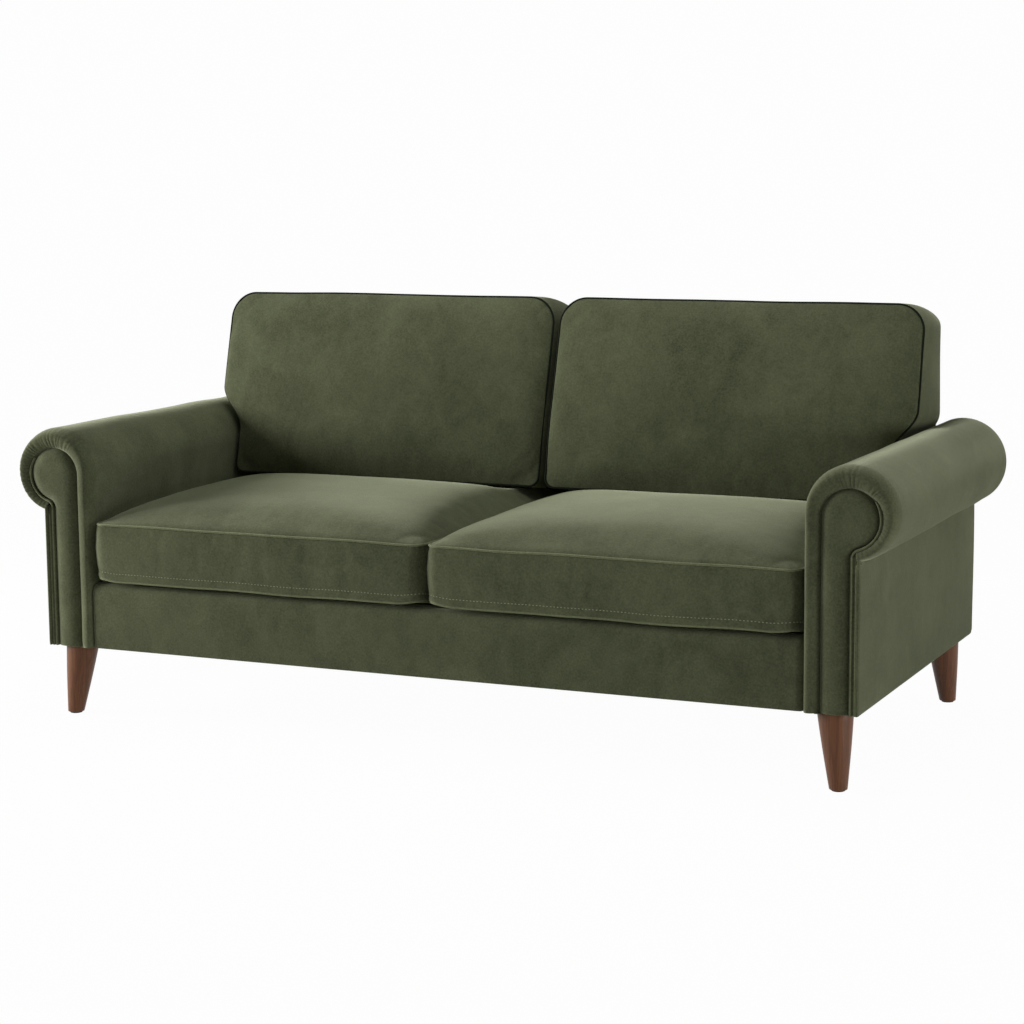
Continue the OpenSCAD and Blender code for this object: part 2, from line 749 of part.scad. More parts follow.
// Back cushion, seen from the front: round upper corners and an ear over the arm
ear_above_scroll = 17;
ear_above_arm = 25;
ear_from = scroll_z + ear_above_scroll;
ear_to = arm_h + ear_above_arm;
function back_outline() = let (x0 = clear, x1 = inner_x - clear, x2 = x1 + ear_w,
    z0 = rest_z(cushion_back_y) + clear, z1 = back_cushion_top, r = back_corner_r, f = back_foot_r) concat(
    corner(x1 - f, z0 + f, f, -90, corner_n), run_points([x1, z0 + f], [x1, ear_from], 2),
    [for (i = [0 : ear_n]) [x1 + ear_w * (1 - cos(180 * i / ear_n)) / 2, mix(ear_from, ear_to, i / ear_n)]],
    run_points([x2, ear_to], [x2, z1 - r], 3),
    corner(x2 - r, z1 - r, r, 0, corner_n), run_points([x2 - r, z1], [x0 + r, z1], side_n),
    corner(x0 + r, z1 - r, r, 90, corner_n), run_points([x0, z1 - r], [x0, z0 + f], side_n),
    corner(x0 + f, z0 + f, f, 180, corner_n), run_points([x0 + f, z0], [x1 - f, z0], side_n));

// The plane of the front seam, how far the seams are drawn in, and the depth of the rear seam
function face_y(z) = seam_foot_y + (z - back_rest_z) * tan(back_lean);
back_draw_in = 7.5;
rear_seam = 8;

// Move a ring between the slope of the seat under it and the falling top above it. t is its place
// from the rear seam, at 0, to the front seam, at 1
back_low_z = rest_z(cushion_back_y) + clear;
function lifted(q, t) = [q[0], mix(
    rest_z(mix(cushion_back_y - rear_seam, seam_foot_y, t)) + clear,
    back_cushion_top - (1 - t) * back_top_fall,
    (q[1] - back_low_z) / (back_cushion_top - back_low_z))];
function back_seam(inset) = [for (q = inset_ring(back_outline(), inset)) lifted(q, 1)];

module back_cushion() {
    o = back_outline();
    seam_line = back_seam(back_draw_in);
    c = centre_of(o);
    h = half_of(o);
    n = len(o);
    rear_y = cushion_back_y;
    rings = concat(
        [for (u = flat_scales) [for (p = shrunk_ring(inset_ring(o, back_draw_in), c, u))
            let (q = lifted(p, 0)) [q[0], rear_y, q[1]]]],
        [for (k = [0 : border_n]) let (t = k / border_n)
            [for (p = inset_ring(o, back_draw_in * pow(2 * t - 1, 2))) let (q = lifted(p, t))
                [q[0], mix(rear_y - rear_seam, face_y(q[1]), t), q[1]]]],
        [for (u = crown_scales) [for (p = seam_line) let (q = mix(c, p, u))
            [q[0], face_y(q[1]) - back_crown * crown_at(p, c, h, u), q[1]]]]);
    points = concat([[c[0], rear_y, lifted(c, 0)[1]]], [for (r = rings) each r],
        [[c[0], face_y(c[1]) - back_crown, c[1]]]);
    polyhedron(points = points, faces = ring_faces(n, len(rings)));
}

// The piping lies on the front seam, a little outside it and in front of it
module back_piping(s) {
    out = 2.7;
    forward = 1.9;
    sides = 8;
    path = [for (q = back_seam(back_draw_in - out)) [q[0], face_y(q[1]) - forward, q[1]]];
    color(piping_dark) side(s)
        cord(path, [0, cos(back_lean), -sin(back_lean)], piping_d - 2 * clear, sides, true);
}

module back_core_block() {
    block(clear + 2 * core_in, inner_x - clear - core_in, face_y(back_cushion_top) + core_skin,
        cushion_back_y - core_in, back_rest_z + 2 * core_in, back_cushion_top - 2 * core_in);
}

module back_cover(s) {
    color(velvet) side(s) difference() {
        back_cushion();
        back_core_block();
    }
}

module back_core(s) {
    color(foam) side(s) back_core_block();
}

front_rail();
back_rail();
end_rail(-1);  // end_rail_left
end_rail(1);  // end_rail_right
centre_rail();
seat_back_rail();
back_post(-inner_x + clear + post_w / 2);  // back_post_left
back_post(0);  // back_post_centre
back_post(inner_x - clear - post_w / 2);  // back_post_right
back_top_rail();
arm_board(-1, board_front_y);  // arm_front_board_left
arm_board(1, board_front_y);  // arm_front_board_right
arm_board(-1, board_rear_y - board_t);  // arm_rear_board_left
arm_board(1, board_rear_y - board_t);  // arm_rear_board_right
arm_top_rail(-1);  // arm_top_rail_left
arm_top_rail(1);  // arm_top_rail_right
arm_tack_rail(-1);  // arm_tack_rail_left
arm_tack_rail(1);  // arm_tack_rail_right
arm_liner(-1);  // arm_liner_left
arm_liner(1);  // arm_liner_right
arm_pad(-1);  // arm_pad_left
arm_pad(1);  // arm_pad_right
arm_facing(-1);  // arm_facing_left
arm_facing(1);  // arm_facing_right
arm_welts(-1);  // arm_welts_left
arm_welts(1);  // arm_welts_right
arm_side_panel(-1);  // arm_side_panel_left
arm_side_panel(1);  // arm_side_panel_right
arm_rear_panel(-1);  // arm_rear_panel_left
arm_rear_panel(1);  // arm_rear_panel_right
leg_blocks();
leg_plates();
hanger_bolts();
tee_nuts();
leg(-1, false);  // leg_front_left
leg(1, false);  // leg_front_right
leg(-1, true);  // leg_rear_left
leg(1, true);  // leg_rear_right
foot_glides();
front_rail_cover();
seat_webbing();
deck_pad();
dust_cover();
back_webbing();
inside_back_pad();
outside_back_panel();
seat_cover(-1);  // seat_cover_left
seat_cover(1);  // seat_cover_right
seat_core(-1);  // seat_core_left
seat_core(1);  // seat_core_right
back_cover(-1);  // back_cover_left
back_cover(1);  // back_cover_right
back_core(-1);  // back_core_left
back_core(1);  // back_core_right
back_piping(-1);  // back_piping_left
back_piping(1);  // back_piping_right
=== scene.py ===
"""Two-seater sofa with scroll arms: its velvet covers, cushions, piping, frame and legs.

X runs to the right seen from the front, Y to the back and Z up, in metres. Paired pieces are
made for the right side of the sofa and mirrored for the left.
"""

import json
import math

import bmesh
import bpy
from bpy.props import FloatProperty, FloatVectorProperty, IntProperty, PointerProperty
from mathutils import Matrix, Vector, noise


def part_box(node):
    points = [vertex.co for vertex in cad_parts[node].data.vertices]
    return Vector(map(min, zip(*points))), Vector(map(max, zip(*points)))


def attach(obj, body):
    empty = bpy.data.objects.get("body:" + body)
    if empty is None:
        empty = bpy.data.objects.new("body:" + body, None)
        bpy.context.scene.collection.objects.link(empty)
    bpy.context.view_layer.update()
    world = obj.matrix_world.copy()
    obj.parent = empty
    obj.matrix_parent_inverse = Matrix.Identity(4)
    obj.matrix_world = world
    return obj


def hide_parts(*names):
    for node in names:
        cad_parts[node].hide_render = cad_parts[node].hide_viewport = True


bl_info = {
    "name": "Scroll arm sofa",
    "version": (1, 0, 0),
    "blender": (4, 5, 0),
    "location": "View3D > Sidebar > Sofa",
    "description": "Upholsters the frame of a two-seater sofa in velvet, with cushions and legs",
    "category": "Object",
}

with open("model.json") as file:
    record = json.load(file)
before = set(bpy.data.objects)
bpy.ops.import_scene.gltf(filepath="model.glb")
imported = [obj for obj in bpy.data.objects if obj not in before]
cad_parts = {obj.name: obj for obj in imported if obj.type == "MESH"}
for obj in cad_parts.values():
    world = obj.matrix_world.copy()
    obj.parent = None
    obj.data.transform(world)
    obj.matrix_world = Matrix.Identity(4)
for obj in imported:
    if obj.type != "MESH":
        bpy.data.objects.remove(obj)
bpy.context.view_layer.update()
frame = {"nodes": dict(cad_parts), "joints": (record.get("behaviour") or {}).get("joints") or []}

SIDES = {"left": -1, "right": 1}

# Places read from the frame, all on the right side
pad_low, pad_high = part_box("arm_pad_right")
facing_low, facing_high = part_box("arm_facing_right")
panel_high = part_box("arm_side_panel_right")[1]
welts_low, welts_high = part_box("arm_welts_right")
rear_panel_low, rear_panel_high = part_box("arm_rear_panel_right")
seat_low, seat_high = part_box("seat_cover_right")
cushion_low, cushion_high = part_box("back_cover_right")
deck_low, deck_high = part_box("deck_pad")
inside_back_low, inside_back_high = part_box("inside_back_pad")

FRONT_Y, BACK_Y, HEM_Z = pad_low.y, pad_high.y, pad_low.z
SCROLL_R = (pad_high.x - pad_low.x) / 2
SCROLL_X, SCROLL_Z = pad_low.x + SCROLL_R, pad_high.z - SCROLL_R
FACING_R = facing_high.x - SCROLL_X
FACING_Z = facing_high.z - FACING_R
CREASE_Y = facing_high.y
STEM_X = panel_high.x
# The scroll's padding ends under the scroll, this far round from the level line
JUNCTION = math.acos((STEM_X - SCROLL_X) / SCROLL_R)
WELT_R = (welts_high.y - welts_low.y) / 2
WELT_Y = (welts_high.y + welts_low.y) / 2
# Room between a piece and the one that it rests on or slides past
CLEAR = 0.0003
FACING_OUTER_X = welts_low.x - CLEAR
# Radius of the fillet between a facing's stem and its round head
NECK_R = 0.018
# Facings and rear panels are drawn down to here, and cut off at the hem
DRAWN_TO_Z = HEM_Z - 0.05
# A point of a block of cells, whose sides lie at -1 and 1, is on a side past this
ON_EDGE = 0.9999

pull = next(joint for joint in frame["joints"] if joint["name"] == "seat_right_pull")["axis"]
DECK_SLOPE = -pull[2] / pull[1]


def srgb(red, green, blue):
    """A colour given as it is seen, from 0 to 255, in the linear values that a material takes."""
    def linear(value):
        seen_level = value / 255
        return seen_level / 12.92 if seen_level <= 0.04045 else ((seen_level + 0.055) / 1.055) ** 2.4
    return (linear(red), linear(green), linear(blue), 1.0)


def colour(name, description, seen):
    return FloatVectorProperty(name=name, description=description, subtype="COLOR", size=4,
                               min=0, max=1, default=srgb(*seen))


def length(name, description, metres):
    return FloatProperty(name=name, description=description, default=metres, unit="LENGTH")


def share(name, description, default):
    return FloatProperty(name=name, description=description, default=default)


def count(name, description, default):
    return IntProperty(name=name, description=description, default=default, min=1)


def degrees(name, description, default):
    return FloatProperty(name=name, description=description, default=math.radians(default),
                         subtype="ANGLE", unit="ROTATION")


class SofaColours(bpy.types.PropertyGroup):
    """The colours of the finishes"""
    velvet: colour("Velvet", "Velvet brushed towards the light", (112, 117, 88))
    velvet_shade: colour("Velvet shade", "Velvet brushed away from the light", (58, 62, 43))
    piping: colour("Piping", "Piping on the back cushions", (30, 36, 26))
    thread: colour("Thread", "Topstitching on the seat cushions", (168, 172, 140))
    walnut: colour("Walnut", "Light grain of the legs", (133, 85, 52))
    walnut_shade: colour("Walnut shade", "Dark grain of the legs", (78, 47, 29))
    timber: colour("Timber", "Light grain of the rails and posts", (206, 170, 122))
    timber_shade: colour("Timber shade", "Dark grain of the rails and posts", (170, 128, 82))
    lining: colour("Lining", "Woven lining of the deck and the underside", (46, 50, 38))
    webbing: colour("Webbing", "Elastic webbing", (60, 56, 50))
    foam: colour("Foam", "Foam in the cushions", (232, 222, 188))
    steel: colour("Steel", "Plated steel of the leg fixings", (176, 178, 180))


class SofaCushionSizes(bpy.types.PropertyGroup):
    """The sizes of the loose cushions"""
    cell: length("Cell", "Side of a cell of the cushions' mesh", 0.0085)
    seat_border: length("Seat border", "Height of a seat cushion at its top seam", 0.121)
    seat_crown: length("Seat crown", "Height of the crown above the top seam", 0.064)
    seat_corner: length("Seat corner", "Corner radius seen from above", 0.032)
    draw_in: length("Drawn in", "How far the seams are drawn in", 0.005)
    corner_lift: length("Corner lift", "How far a seat cushion's lower corners are lifted", 0.0055)
    corner_tuck: length("Corner tuck", "How far a seat cushion's lower corners are drawn in", 0.003)
    hem_draw_in: length("Hem drawn in", "How far a seat cushion's lower seam is drawn in", 0.002)
    tuck: length("Tuck", "How far a seat cushion's underside is drawn in", 0.008)
    hem: length("Lower seam", "Height of the stitched seam above the underside", 0.0155)
    back_thick: length("Back thickness", "Depth of a back cushion's foot behind its front seam", 0.236)
    back_lean: degrees("Back lean", "Lean of the back cushions' faces", 15)
    back_fall: length("Back fall", "How far a back cushion's top falls towards its rear", 0.024)
    rest_height: length("Rest height", "Height where the back cushions rest on the seat", 0.456)
    ridge_slope: degrees("Ridge slope", "Slope of the seat in front of the back cushions", 12)
    rest_slope: degrees("Rest slope", "Slope of the seat under the back cushions", 5)
    back_crown: length("Back crown", "How far a back cushion's face stands forward", 0.038)
    back_corner: length("Back corner", "Radius of the upper corners", 0.068)
    rear_corner: length("Rear corner", "Radius of the upper corners at the rear", 0.040)
    back_foot: length("Back foot", "Radius of the lower corners", 0.030)
    back_draw_in: length("Back drawn in", "How far the back cushions' seams are drawn in", 0.0075)
    rear_seam: length("Rear seam", "Depth of the rear seam in front of the back", 0.008)
    ear_above_scroll: length("Ear start", "Height of the ear's start above the scroll's middle", 0.017)
    ear_above_arm: length("Ear end", "Height of the ear's full width above the arm", 0.025)
    welt_r: length("Seat welt", "Radius of the welt on the seat's top seam", 0.0023)
    hem_welt_r: length("Hem welt", "Radius of the welt along a seat cushion's underside", 0.0026)
    piping_r: length("Piping", "Radius of the back cushions' piping", 0.0025)
    stitch_pitch: length("Stitch pitch", "Distance from stitch to stitch", 0.0075)
    stitch_length: length("Stitch length", "Length of a stitch", 0.0046)
    stitch_r: length("Stitch radius", "Radius of the thread", 0.0007)
    pressure: share("Pressure", "Pressure that fills the covers", 4.0)
    swell: length("Swell", "Most that a point of a cover moves when it is filled", 0.006)
    calm: share("Calm", "How far the fine folds of a filled cover are smoothed out", 0.82)


class SofaArmSizes(bpy.types.PropertyGroup):
    """The sizes of the arms' upholstery"""
    roll_d: length("Roll depth", "Depth of the front roll's outer side", 0.034)
    crest: share("Roll crest", "Where the roll stands furthest forward, as a share of its width", 0.40)
    rear_round: length("Rear edge", "Radius of the arm's rear edge", 0.014)
    gathers: count("Gathers", "Number of gathers in a full turn round the scroll's front", 51)
    gather_depth: length("Gather depth", "Depth of the gathers", 0.0026)
    facing_rise: length("Facing rise", "How far the facing's middle stands out of the crease", 0.0155)
    fullness: share("Fullness", "Padding of the roll and facing: 1 is full, 2 falls away", 1.35)
    welt_gap: length("Welt gap", "Gap between the two welts beside the facing", 0.0034)
    cover: length("Cover", "Thickness of the arm's cover", 0.002)


class SofaPanelSizes(bpy.types.PropertyGroup):
    """The sizes of the panels and covers on the frame"""
    edge: length("Panel edge", "Radius of a panel's edges", 0.004)
    back_end: length("Back end", "How far the back's padding covers its ends above the arms", 0.0215)
    bulge: length("Panel bulge", "How far the middle of a panel stands out", 0.0025)
    rail_round: length("Rail rounding", "Rounding of the front rail's upper edge", 0.022)
    rail_end: length("Rail end", "Rounding of the front rail's ends", 0.006)
    rail_lip: length("Rail lip", "How far the front rail's cover puffs up under the cushions", 0.007)
    rail_bulge: length("Rail bulge", "How far the middle of the front rail's cover stands out", 0.003)
    wander: length("Wander", "How far soft surfaces wander from their plain shape", 0.0014)


class SofaLegSizes(bpy.types.PropertyGroup):
    """The sizes of the legs"""
    foot_r: length("Foot radius", "Radius of a leg at its foot", 0.0175)
    glide_r: length("Glide radius", "Radius of a glide", 0.013)
    edge: length("Leg edge", "Rounding of a leg's upper and lower edges", 0.0016)
    belly: share("Leg belly", "How far a leg's middle swells, as a share of its radius", 0.03)


class SofaStageSettings(bpy.types.PropertyGroup):
    """The camera and the light"""
    azimuth: degrees("Azimuth", "Turn of the camera round the sofa", 24.46)
    elevation: degrees("Elevation", "Height of the camera above the level", 8.40)
    roll: degrees("Roll", "Turn of the camera about its own axis", -0.47)
    distance: length("Distance", "Distance of the camera from its target", 5.212)
    target: FloatVectorProperty(name="Target", description="Point that the camera looks at",
                                subtype="TRANSLATION", default=(0.0172, -0.038, 0.434))
    lens: FloatProperty(name="Lens", description="Focal length in millimetres", default=85.86)
    world: share("World", "Strength of the light from all round", 0.085)
    key: FloatProperty(name="Key", description="Power of the lamp above the front left", unit="POWER",
                       default=248)
    side: FloatProperty(name="Side", description="Power of the lamp on the right", unit="POWER",
                        default=44)
    top: FloatProperty(name="Top", description="Power of the lamp overhead", unit="POWER",
                       default=38)


def settings(name):
    return getattr(bpy.context.scene, "sofa_" + name)


def mix(start, end, at):
    return start + (end - start) * at


def smooth(low, high, value):
    """A soft step from 0 at low to 1 at high."""
    at = min(max((value - low) / (high - low), 0.0), 1.0)
    return at * at * (3 - 2 * at)


# The noise vector is read from places that the seed sets, so the drift is the same on every run
noise.seed_set(7)


def wander(point, size, reach):
    """A slow drift of points in space."""
    return noise.noise_vector(point / size) * reach


# Node trees

def add(tree, kind, inputs=None, **properties):
    """Adds a node. An input is a plain value, or another node's output to link."""
    node = tree.nodes.new(kind)
    for name, value in properties.items():
        setattr(node, name, value)
    for name, value in (inputs or {}).items():
        if isinstance(value, bpy.types.NodeSocket):
            tree.links.new(value, node.inputs[name])
        else:
            node.inputs[name].default_value = value
    return node


def maths(tree, operation, *values):
    """The output of a Math node."""
    node = add(tree, "ShaderNodeMath", dict(enumerate(values)), operation=operation)
    return node.outputs[0]


def noise_value(tree, coords, scale, detail=2.0, distortion=0.0, stretch=(1, 1, 1)):
    """Noise on the coordinates, as a value round 0."""
    mapped = add(tree, "ShaderNodeMapping", {"Vector": coords, "Scale": stretch}).outputs[0]
    made = add(tree, "ShaderNodeTexNoise", {"Vector": mapped, "Scale": scale, "Detail": detail,
                                            "Distortion": distortion})
    return maths(tree, "SUBTRACT", made.outputs["Fac"], 0.5)


def weighted(tree, *terms):
    """The sum of value and weight pairs."""
    total = 0.0
    for value, weight in terms:
        total = maths(tree, "MULTIPLY_ADD", value, weight, total)
    return total


def blended(tree, factor, first, second):
    """The colour between two colours."""
    node = add(tree, "ShaderNodeMix", {0: factor, 6: first, 7: second}, data_type="RGBA")
    return node.outputs[2]


def new_group(name, inputs, outputs):
    """A shader node group with named inputs, and the nodes that stand for its ends."""
    group = bpy.data.node_groups.new(name, "ShaderNodeTree")
    for label, kind, default in inputs:
        socket = group.interface.new_socket(label, in_out="INPUT", socket_type="NodeSocket" + kind)
        socket.default_value = default
    for label, kind in outputs:
        group.interface.new_socket(label, in_out="OUTPUT", socket_type="NodeSocket" + kind)
    return group, group.nodes.new("NodeGroupInput"), group.nodes.new("NodeGroupOutput")


GREY = (0.5, 0.5, 0.5, 1.0)


def velvet_group():
    """Cut pile: soft patches where it was brushed, streaks down the fronts, and its fine mottle."""
    group, ins, outs = new_group("Velvet pile", [
        ("Light", "Color", GREY), ("Shade", "Color", GREY), ("Patches", "Float", 1.0),
        ("Streaks", "Float", 1.0), ("Mottle", "Float", 1.0)], [("Color", "Color"), ("Height", "Float")])
    coords = add(group, "ShaderNodeTexCoord").outputs["Object"]
    patches = noise_value(group, coords, 6.0, 3.0, 0.8)
    brushed = noise_value(group, coords, 19.0, 3.0, 1.4, (1.0, 1.0, 0.8))
    streaks = noise_value(group, coords, 26.0, 2.0, 0.6, (1.0, 1.0, 0.3))
    mottle = noise_value(group, coords, 240.0, 3.0)
    pile = noise_value(group, coords, 900.0, 2.0)
    patchy = maths(group, "MULTIPLY", weighted(group, (patches, 0.7), (brushed, 0.45)),
                   ins.outputs["Patches"])
    streaky = maths(group, "MULTIPLY", streaks, ins.outputs["Streaks"])
    mottled = maths(group, "MULTIPLY", weighted(group, (mottle, 0.85), (pile, 0.5)),
                    ins.outputs["Mottle"])
    lean = weighted(group, (patchy, 1.0), (streaky, 0.2), (mottled, 1.0))
    lean = add(group, "ShaderNodeClamp", {0: maths(group, "ADD", lean, 0.5)}).outputs[0]
    group.links.new(blended(group, lean, ins.outputs["Shade"], ins.outputs["Light"]),
                    outs.inputs["Color"])
    group.links.new(weighted(group, (mottle, 0.6), (pile, 0.4), (brushed, 0.5)), outs.inputs["Height"])
    return group


def wood_group():
    """Straight-grained wood: slow rings, fine grain and pores, along the Z axis or another."""
    group, ins, outs = new_group("Wood grain", [
        ("Light", "Color", GREY), ("Shade", "Color", GREY), ("Rings", "Float", 1.0),
        ("Grain", "Vector", (1, 1, 0.06))], [("Color", "Color"), ("Height", "Float")])
    coords = add(group, "ShaderNodeTexCoord").outputs["Object"]
    along = add(group, "ShaderNodeVectorMath", {0: coords, 1: ins.outputs["Grain"]},
                operation="MULTIPLY").outputs[0]
    rings = add(group, "ShaderNodeTexNoise", {"Vector": along, "Scale": 55.0, "Detail": 3.0,
                                              "Distortion": 0.9}).outputs["Fac"]
    bands = maths(group, "SINE", maths(group, "MULTIPLY", rings, 34.0))
    grain = noise_value(group, along, 900.0, 2.0)
    tone = noise_value(group, along, 18.0, 2.0)
    mixed = weighted(group, (bands, 0.16), (grain, 0.5), (tone, 0.9))
    mixed = maths(group, "MULTIPLY", mixed, ins.outputs["Rings"])
    mixed = add(group, "ShaderNodeClamp", {0: maths(group, "ADD", mixed, 0.5)}).outputs[0]
    group.links.new(blended(group, mixed, ins.outputs["Shade"], ins.outputs["Light"]),
                    outs.inputs["Color"])
    group.links.new(weighted(group, (grain, 1.0), (bands, 0.15)), outs.inputs["Height"])
    return group


def weave_group():
    """Plain weave: threads over and under each other in the two given directions."""
    group, ins, outs = new_group("Plain weave", [
        ("Light", "Color", GREY), ("Shade", "Color", GREY), ("Threads", "Float", 900.0)],
        [("Color", "Color"), ("Height", "Float")])
    coords = add(group, "ShaderNodeTexCoord").outputs["Object"]
    turned = maths(group, "MULTIPLY", ins.outputs["Threads"], math.pi)
    split = add(group, "ShaderNodeSeparateXYZ", {0: coords})
    across = maths(group, "SINE", maths(group, "MULTIPLY", split.outputs[0], turned))
    lengthwise = maths(group, "ADD", split.outputs[1], split.outputs[2])
    down = maths(group, "SINE", maths(group, "MULTIPLY", lengthwise, turned))
    crossing = maths(group, "MULTIPLY", across, down)
    cloudy = noise_value(group, coords, 30.0, 3.0)
    at = weighted(group, (crossing, 0.35), (cloudy, 0.8))
    at = add(group, "ShaderNodeClamp", {0: maths(group, "ADD", at, 0.5)}).outputs[0]
    group.links.new(blended(group, at, ins.outputs["Shade"], ins.outputs["Light"]),
                    outs.inputs["Color"])
    group.links.new(crossing, outs.inputs["Height"])
    return group


def speck_group():
    """A plain stuff with fine specks: foam cells, thread, plating, felt."""
    group, ins, outs = new_group("Specks", [
        ("Light", "Color", GREY), ("Shade", "Color", GREY), ("Size", "Float", 400.0)],
        [("Color", "Color"), ("Height", "Float")])
    coords = add(group, "ShaderNodeTexCoord").outputs["Object"]
    cells = add(group, "ShaderNodeTexVoronoi", {"Vector": coords, "Scale": ins.outputs["Size"]})
    cloudy = noise_value(group, coords, 22.0, 3.0)
    at = weighted(group, (cells.outputs["Distance"], 0.7), (cloudy, 0.6))
    at = add(group, "ShaderNodeClamp", {0: maths(group, "ADD", at, 0.2)}).outputs[0]
    group.links.new(blended(group, at, ins.outputs["Shade"], ins.outputs["Light"]),
                    outs.inputs["Color"])
    group.links.new(cells.outputs["Distance"], outs.inputs["Height"])
    return group


def ply_group():
    """Plywood: even plies that show as lines on the boards' edges, which run along Y."""
    group, ins, outs = new_group("Plies", [
        ("Light", "Color", GREY), ("Shade", "Color", GREY), ("Ply", "Float", 0.003)],
        [("Color", "Color"), ("Height", "Float")])
    coords = add(group, "ShaderNodeTexCoord").outputs["Object"]
    split = add(group, "ShaderNodeSeparateXYZ", {0: coords})
    turn = maths(group, "DIVIDE", split.outputs[1], ins.outputs["Ply"])
    plies = maths(group, "SINE", maths(group, "MULTIPLY", turn, math.pi))
    grain = noise_value(group, coords, 160.0, 3.0, 0.3, (1.0, 1.0, 0.05))
    at = weighted(group, (plies, 0.3), (grain, 0.9))
    at = add(group, "ShaderNodeClamp", {0: maths(group, "ADD", at, 0.5)}).outputs[0]
    group.links.new(blended(group, at, ins.outputs["Shade"], ins.outputs["Light"]),
                    outs.inputs["Color"])
    group.links.new(grain, outs.inputs["Height"])
    return group


GROUPS = {"velvet": velvet_group, "wood": wood_group, "weave": weave_group, "specks": speck_group,
          "plies": ply_group}
PILE = {"Roughness": 0.95, "Specular IOR Level": 0.05, "Sheen Weight": 0.85, "Sheen Roughness": 0.42}
SATIN = {"Roughness": 0.45, "Specular IOR Level": 0.25}


def tinted(colour_value, factor):
    """A colour made lighter or darker by a factor."""
    return tuple(min(channel * factor, 1.0) for channel in colour_value[:3]) + (1.0,)


def finish_table():
    """Each finish: its group, the group's values, the shader's plain values, and the strength and
    the distance of the bump."""
    tones = settings("colours")
    light, shade = tuple(tones.velvet), tuple(tones.velvet_shade)
    sheen = {"Sheen Tint": (0.66, 0.69, 0.49, 1.0)}
    return {
        "velvet": ("velvet", {"Light": light, "Shade": shade}, {**PILE, **sheen}, 0.35, 0.0012),
        # The welts: the velvet's colours made lighter, a painted highlight along the welts' ridges
        "velvet_welt": ("velvet", {"Light": tinted(light, 1.7), "Shade": tinted(shade, 2.0),
                                   "Patches": 0.4}, {**PILE, **sheen}, 0.3, 0.0008),
        "piping": ("velvet", {"Light": tinted(tones.piping, 1.2), "Shade": tinted(tones.piping, 0.8)},
                   {**PILE, "Sheen Weight": 0.08}, 0.3, 0.0008),
        "thread": ("specks", {"Light": tuple(tones.thread), "Shade": tinted(tones.thread, 0.8),
                              "Size": 2000.0}, {"Roughness": 0.7}, 0.2, 0.0003),
        "walnut": ("wood", {"Light": tuple(tones.walnut), "Shade": tuple(tones.walnut_shade)},
                   {**SATIN, "Coat Weight": 0.08, "Coat Roughness": 0.3}, 0.08, 0.0004),
        "timber": ("wood", {"Light": tuple(tones.timber), "Shade": tuple(tones.timber_shade),
                            "Grain": (0.06, 1.0, 1.0)}, {"Roughness": 0.7}, 0.15, 0.0004),
        "timber_upright": ("wood", {"Light": tuple(tones.timber), "Shade": tuple(tones.timber_shade)},
                           {"Roughness": 0.7}, 0.15, 0.0004),
        "timber_along": ("wood", {"Light": tuple(tones.timber), "Shade": tuple(tones.timber_shade),
                                  "Grain": (1.0, 0.06, 1.0)}, {"Roughness": 0.7}, 0.15, 0.0004),
        "plywood": ("plies", {"Light": tinted(tones.timber, 1.1), "Shade": tuple(tones.timber_shade)},
                    {"Roughness": 0.72}, 0.1, 0.0003),
        "steel": ("specks", {"Light": tuple(tones.steel), "Shade": tinted(tones.steel, 0.8),
                             "Size": 1500.0}, {"Metallic": 1.0, "Roughness": 0.34}, 0.05, 0.0002),
        "foam": ("specks", {"Light": tuple(tones.foam), "Shade": tinted(tones.foam, 0.75),
                            "Size": 700.0}, {"Roughness": 0.95}, 0.4, 0.001),
        "webbing": ("weave", {"Light": tinted(tones.webbing, 1.25), "Shade": tinted(tones.webbing, 0.7),
                              "Threads": 500.0}, {"Roughness": 0.85}, 0.4, 0.0006),
        "lining": ("weave", {"Light": tinted(tones.lining, 1.25), "Shade": tinted(tones.lining, 0.75),
                             "Threads": 1100.0}, {"Roughness": 0.9}, 0.25, 0.0003),
        "glide": ("specks", {"Light": tinted(tones.lining, 1.1), "Shade": tinted(tones.lining, 0.7),
                             "Size": 900.0}, {"Roughness": 0.9}, 0.3, 0.0004),
    }


def material(name):
    """The finish of that name, made when it is first asked for."""
    found = bpy.data.materials.get("sofa_" + name)
    if found:
        return found
    group, values, shader_values, strength, distance = finish_table()[name]
    made = bpy.data.materials.new("sofa_" + name)
    made.use_nodes = True
    tree = made.node_tree
    tree.nodes.clear()
    groups = bpy.data.node_groups
    placed = add(tree, "ShaderNodeGroup", node_tree=groups.get(group) or named(GROUPS[group](), group))
    for label, value in values.items():
        placed.inputs[label].default_value = value
    bump = add(tree, "ShaderNodeBump", {"Strength": strength, "Distance": distance,
                                        "Height": placed.outputs["Height"]})
    shader = add(tree, "ShaderNodeBsdfPrincipled", {"Base Color": placed.outputs["Color"],
                                                    "Normal": bump.outputs[0], **shader_values})
    add(tree, "ShaderNodeOutputMaterial", {"Surface": shader.outputs[0]})
    made.diffuse_color = values["Light"]
    return made


def named(datablock, name):
    datablock.name = name
    return datablock


# Meshes

def grid_block(cells):
    """A closed cube from -1 to 1 with that many cells along X, Y and Z on its faces."""
    bm = bmesh.new()
    bmesh.ops.create_cube(bm, size=2)
    for axis, number in enumerate(cells):
        along = [e for e in bm.edges if abs(e.verts[0].co[axis] - e.verts[1].co[axis]) > 1e-6]
        bmesh.ops.subdivide_edges(bm, edges=along, cuts=number - 1, use_grid_fill=True)
    return bm


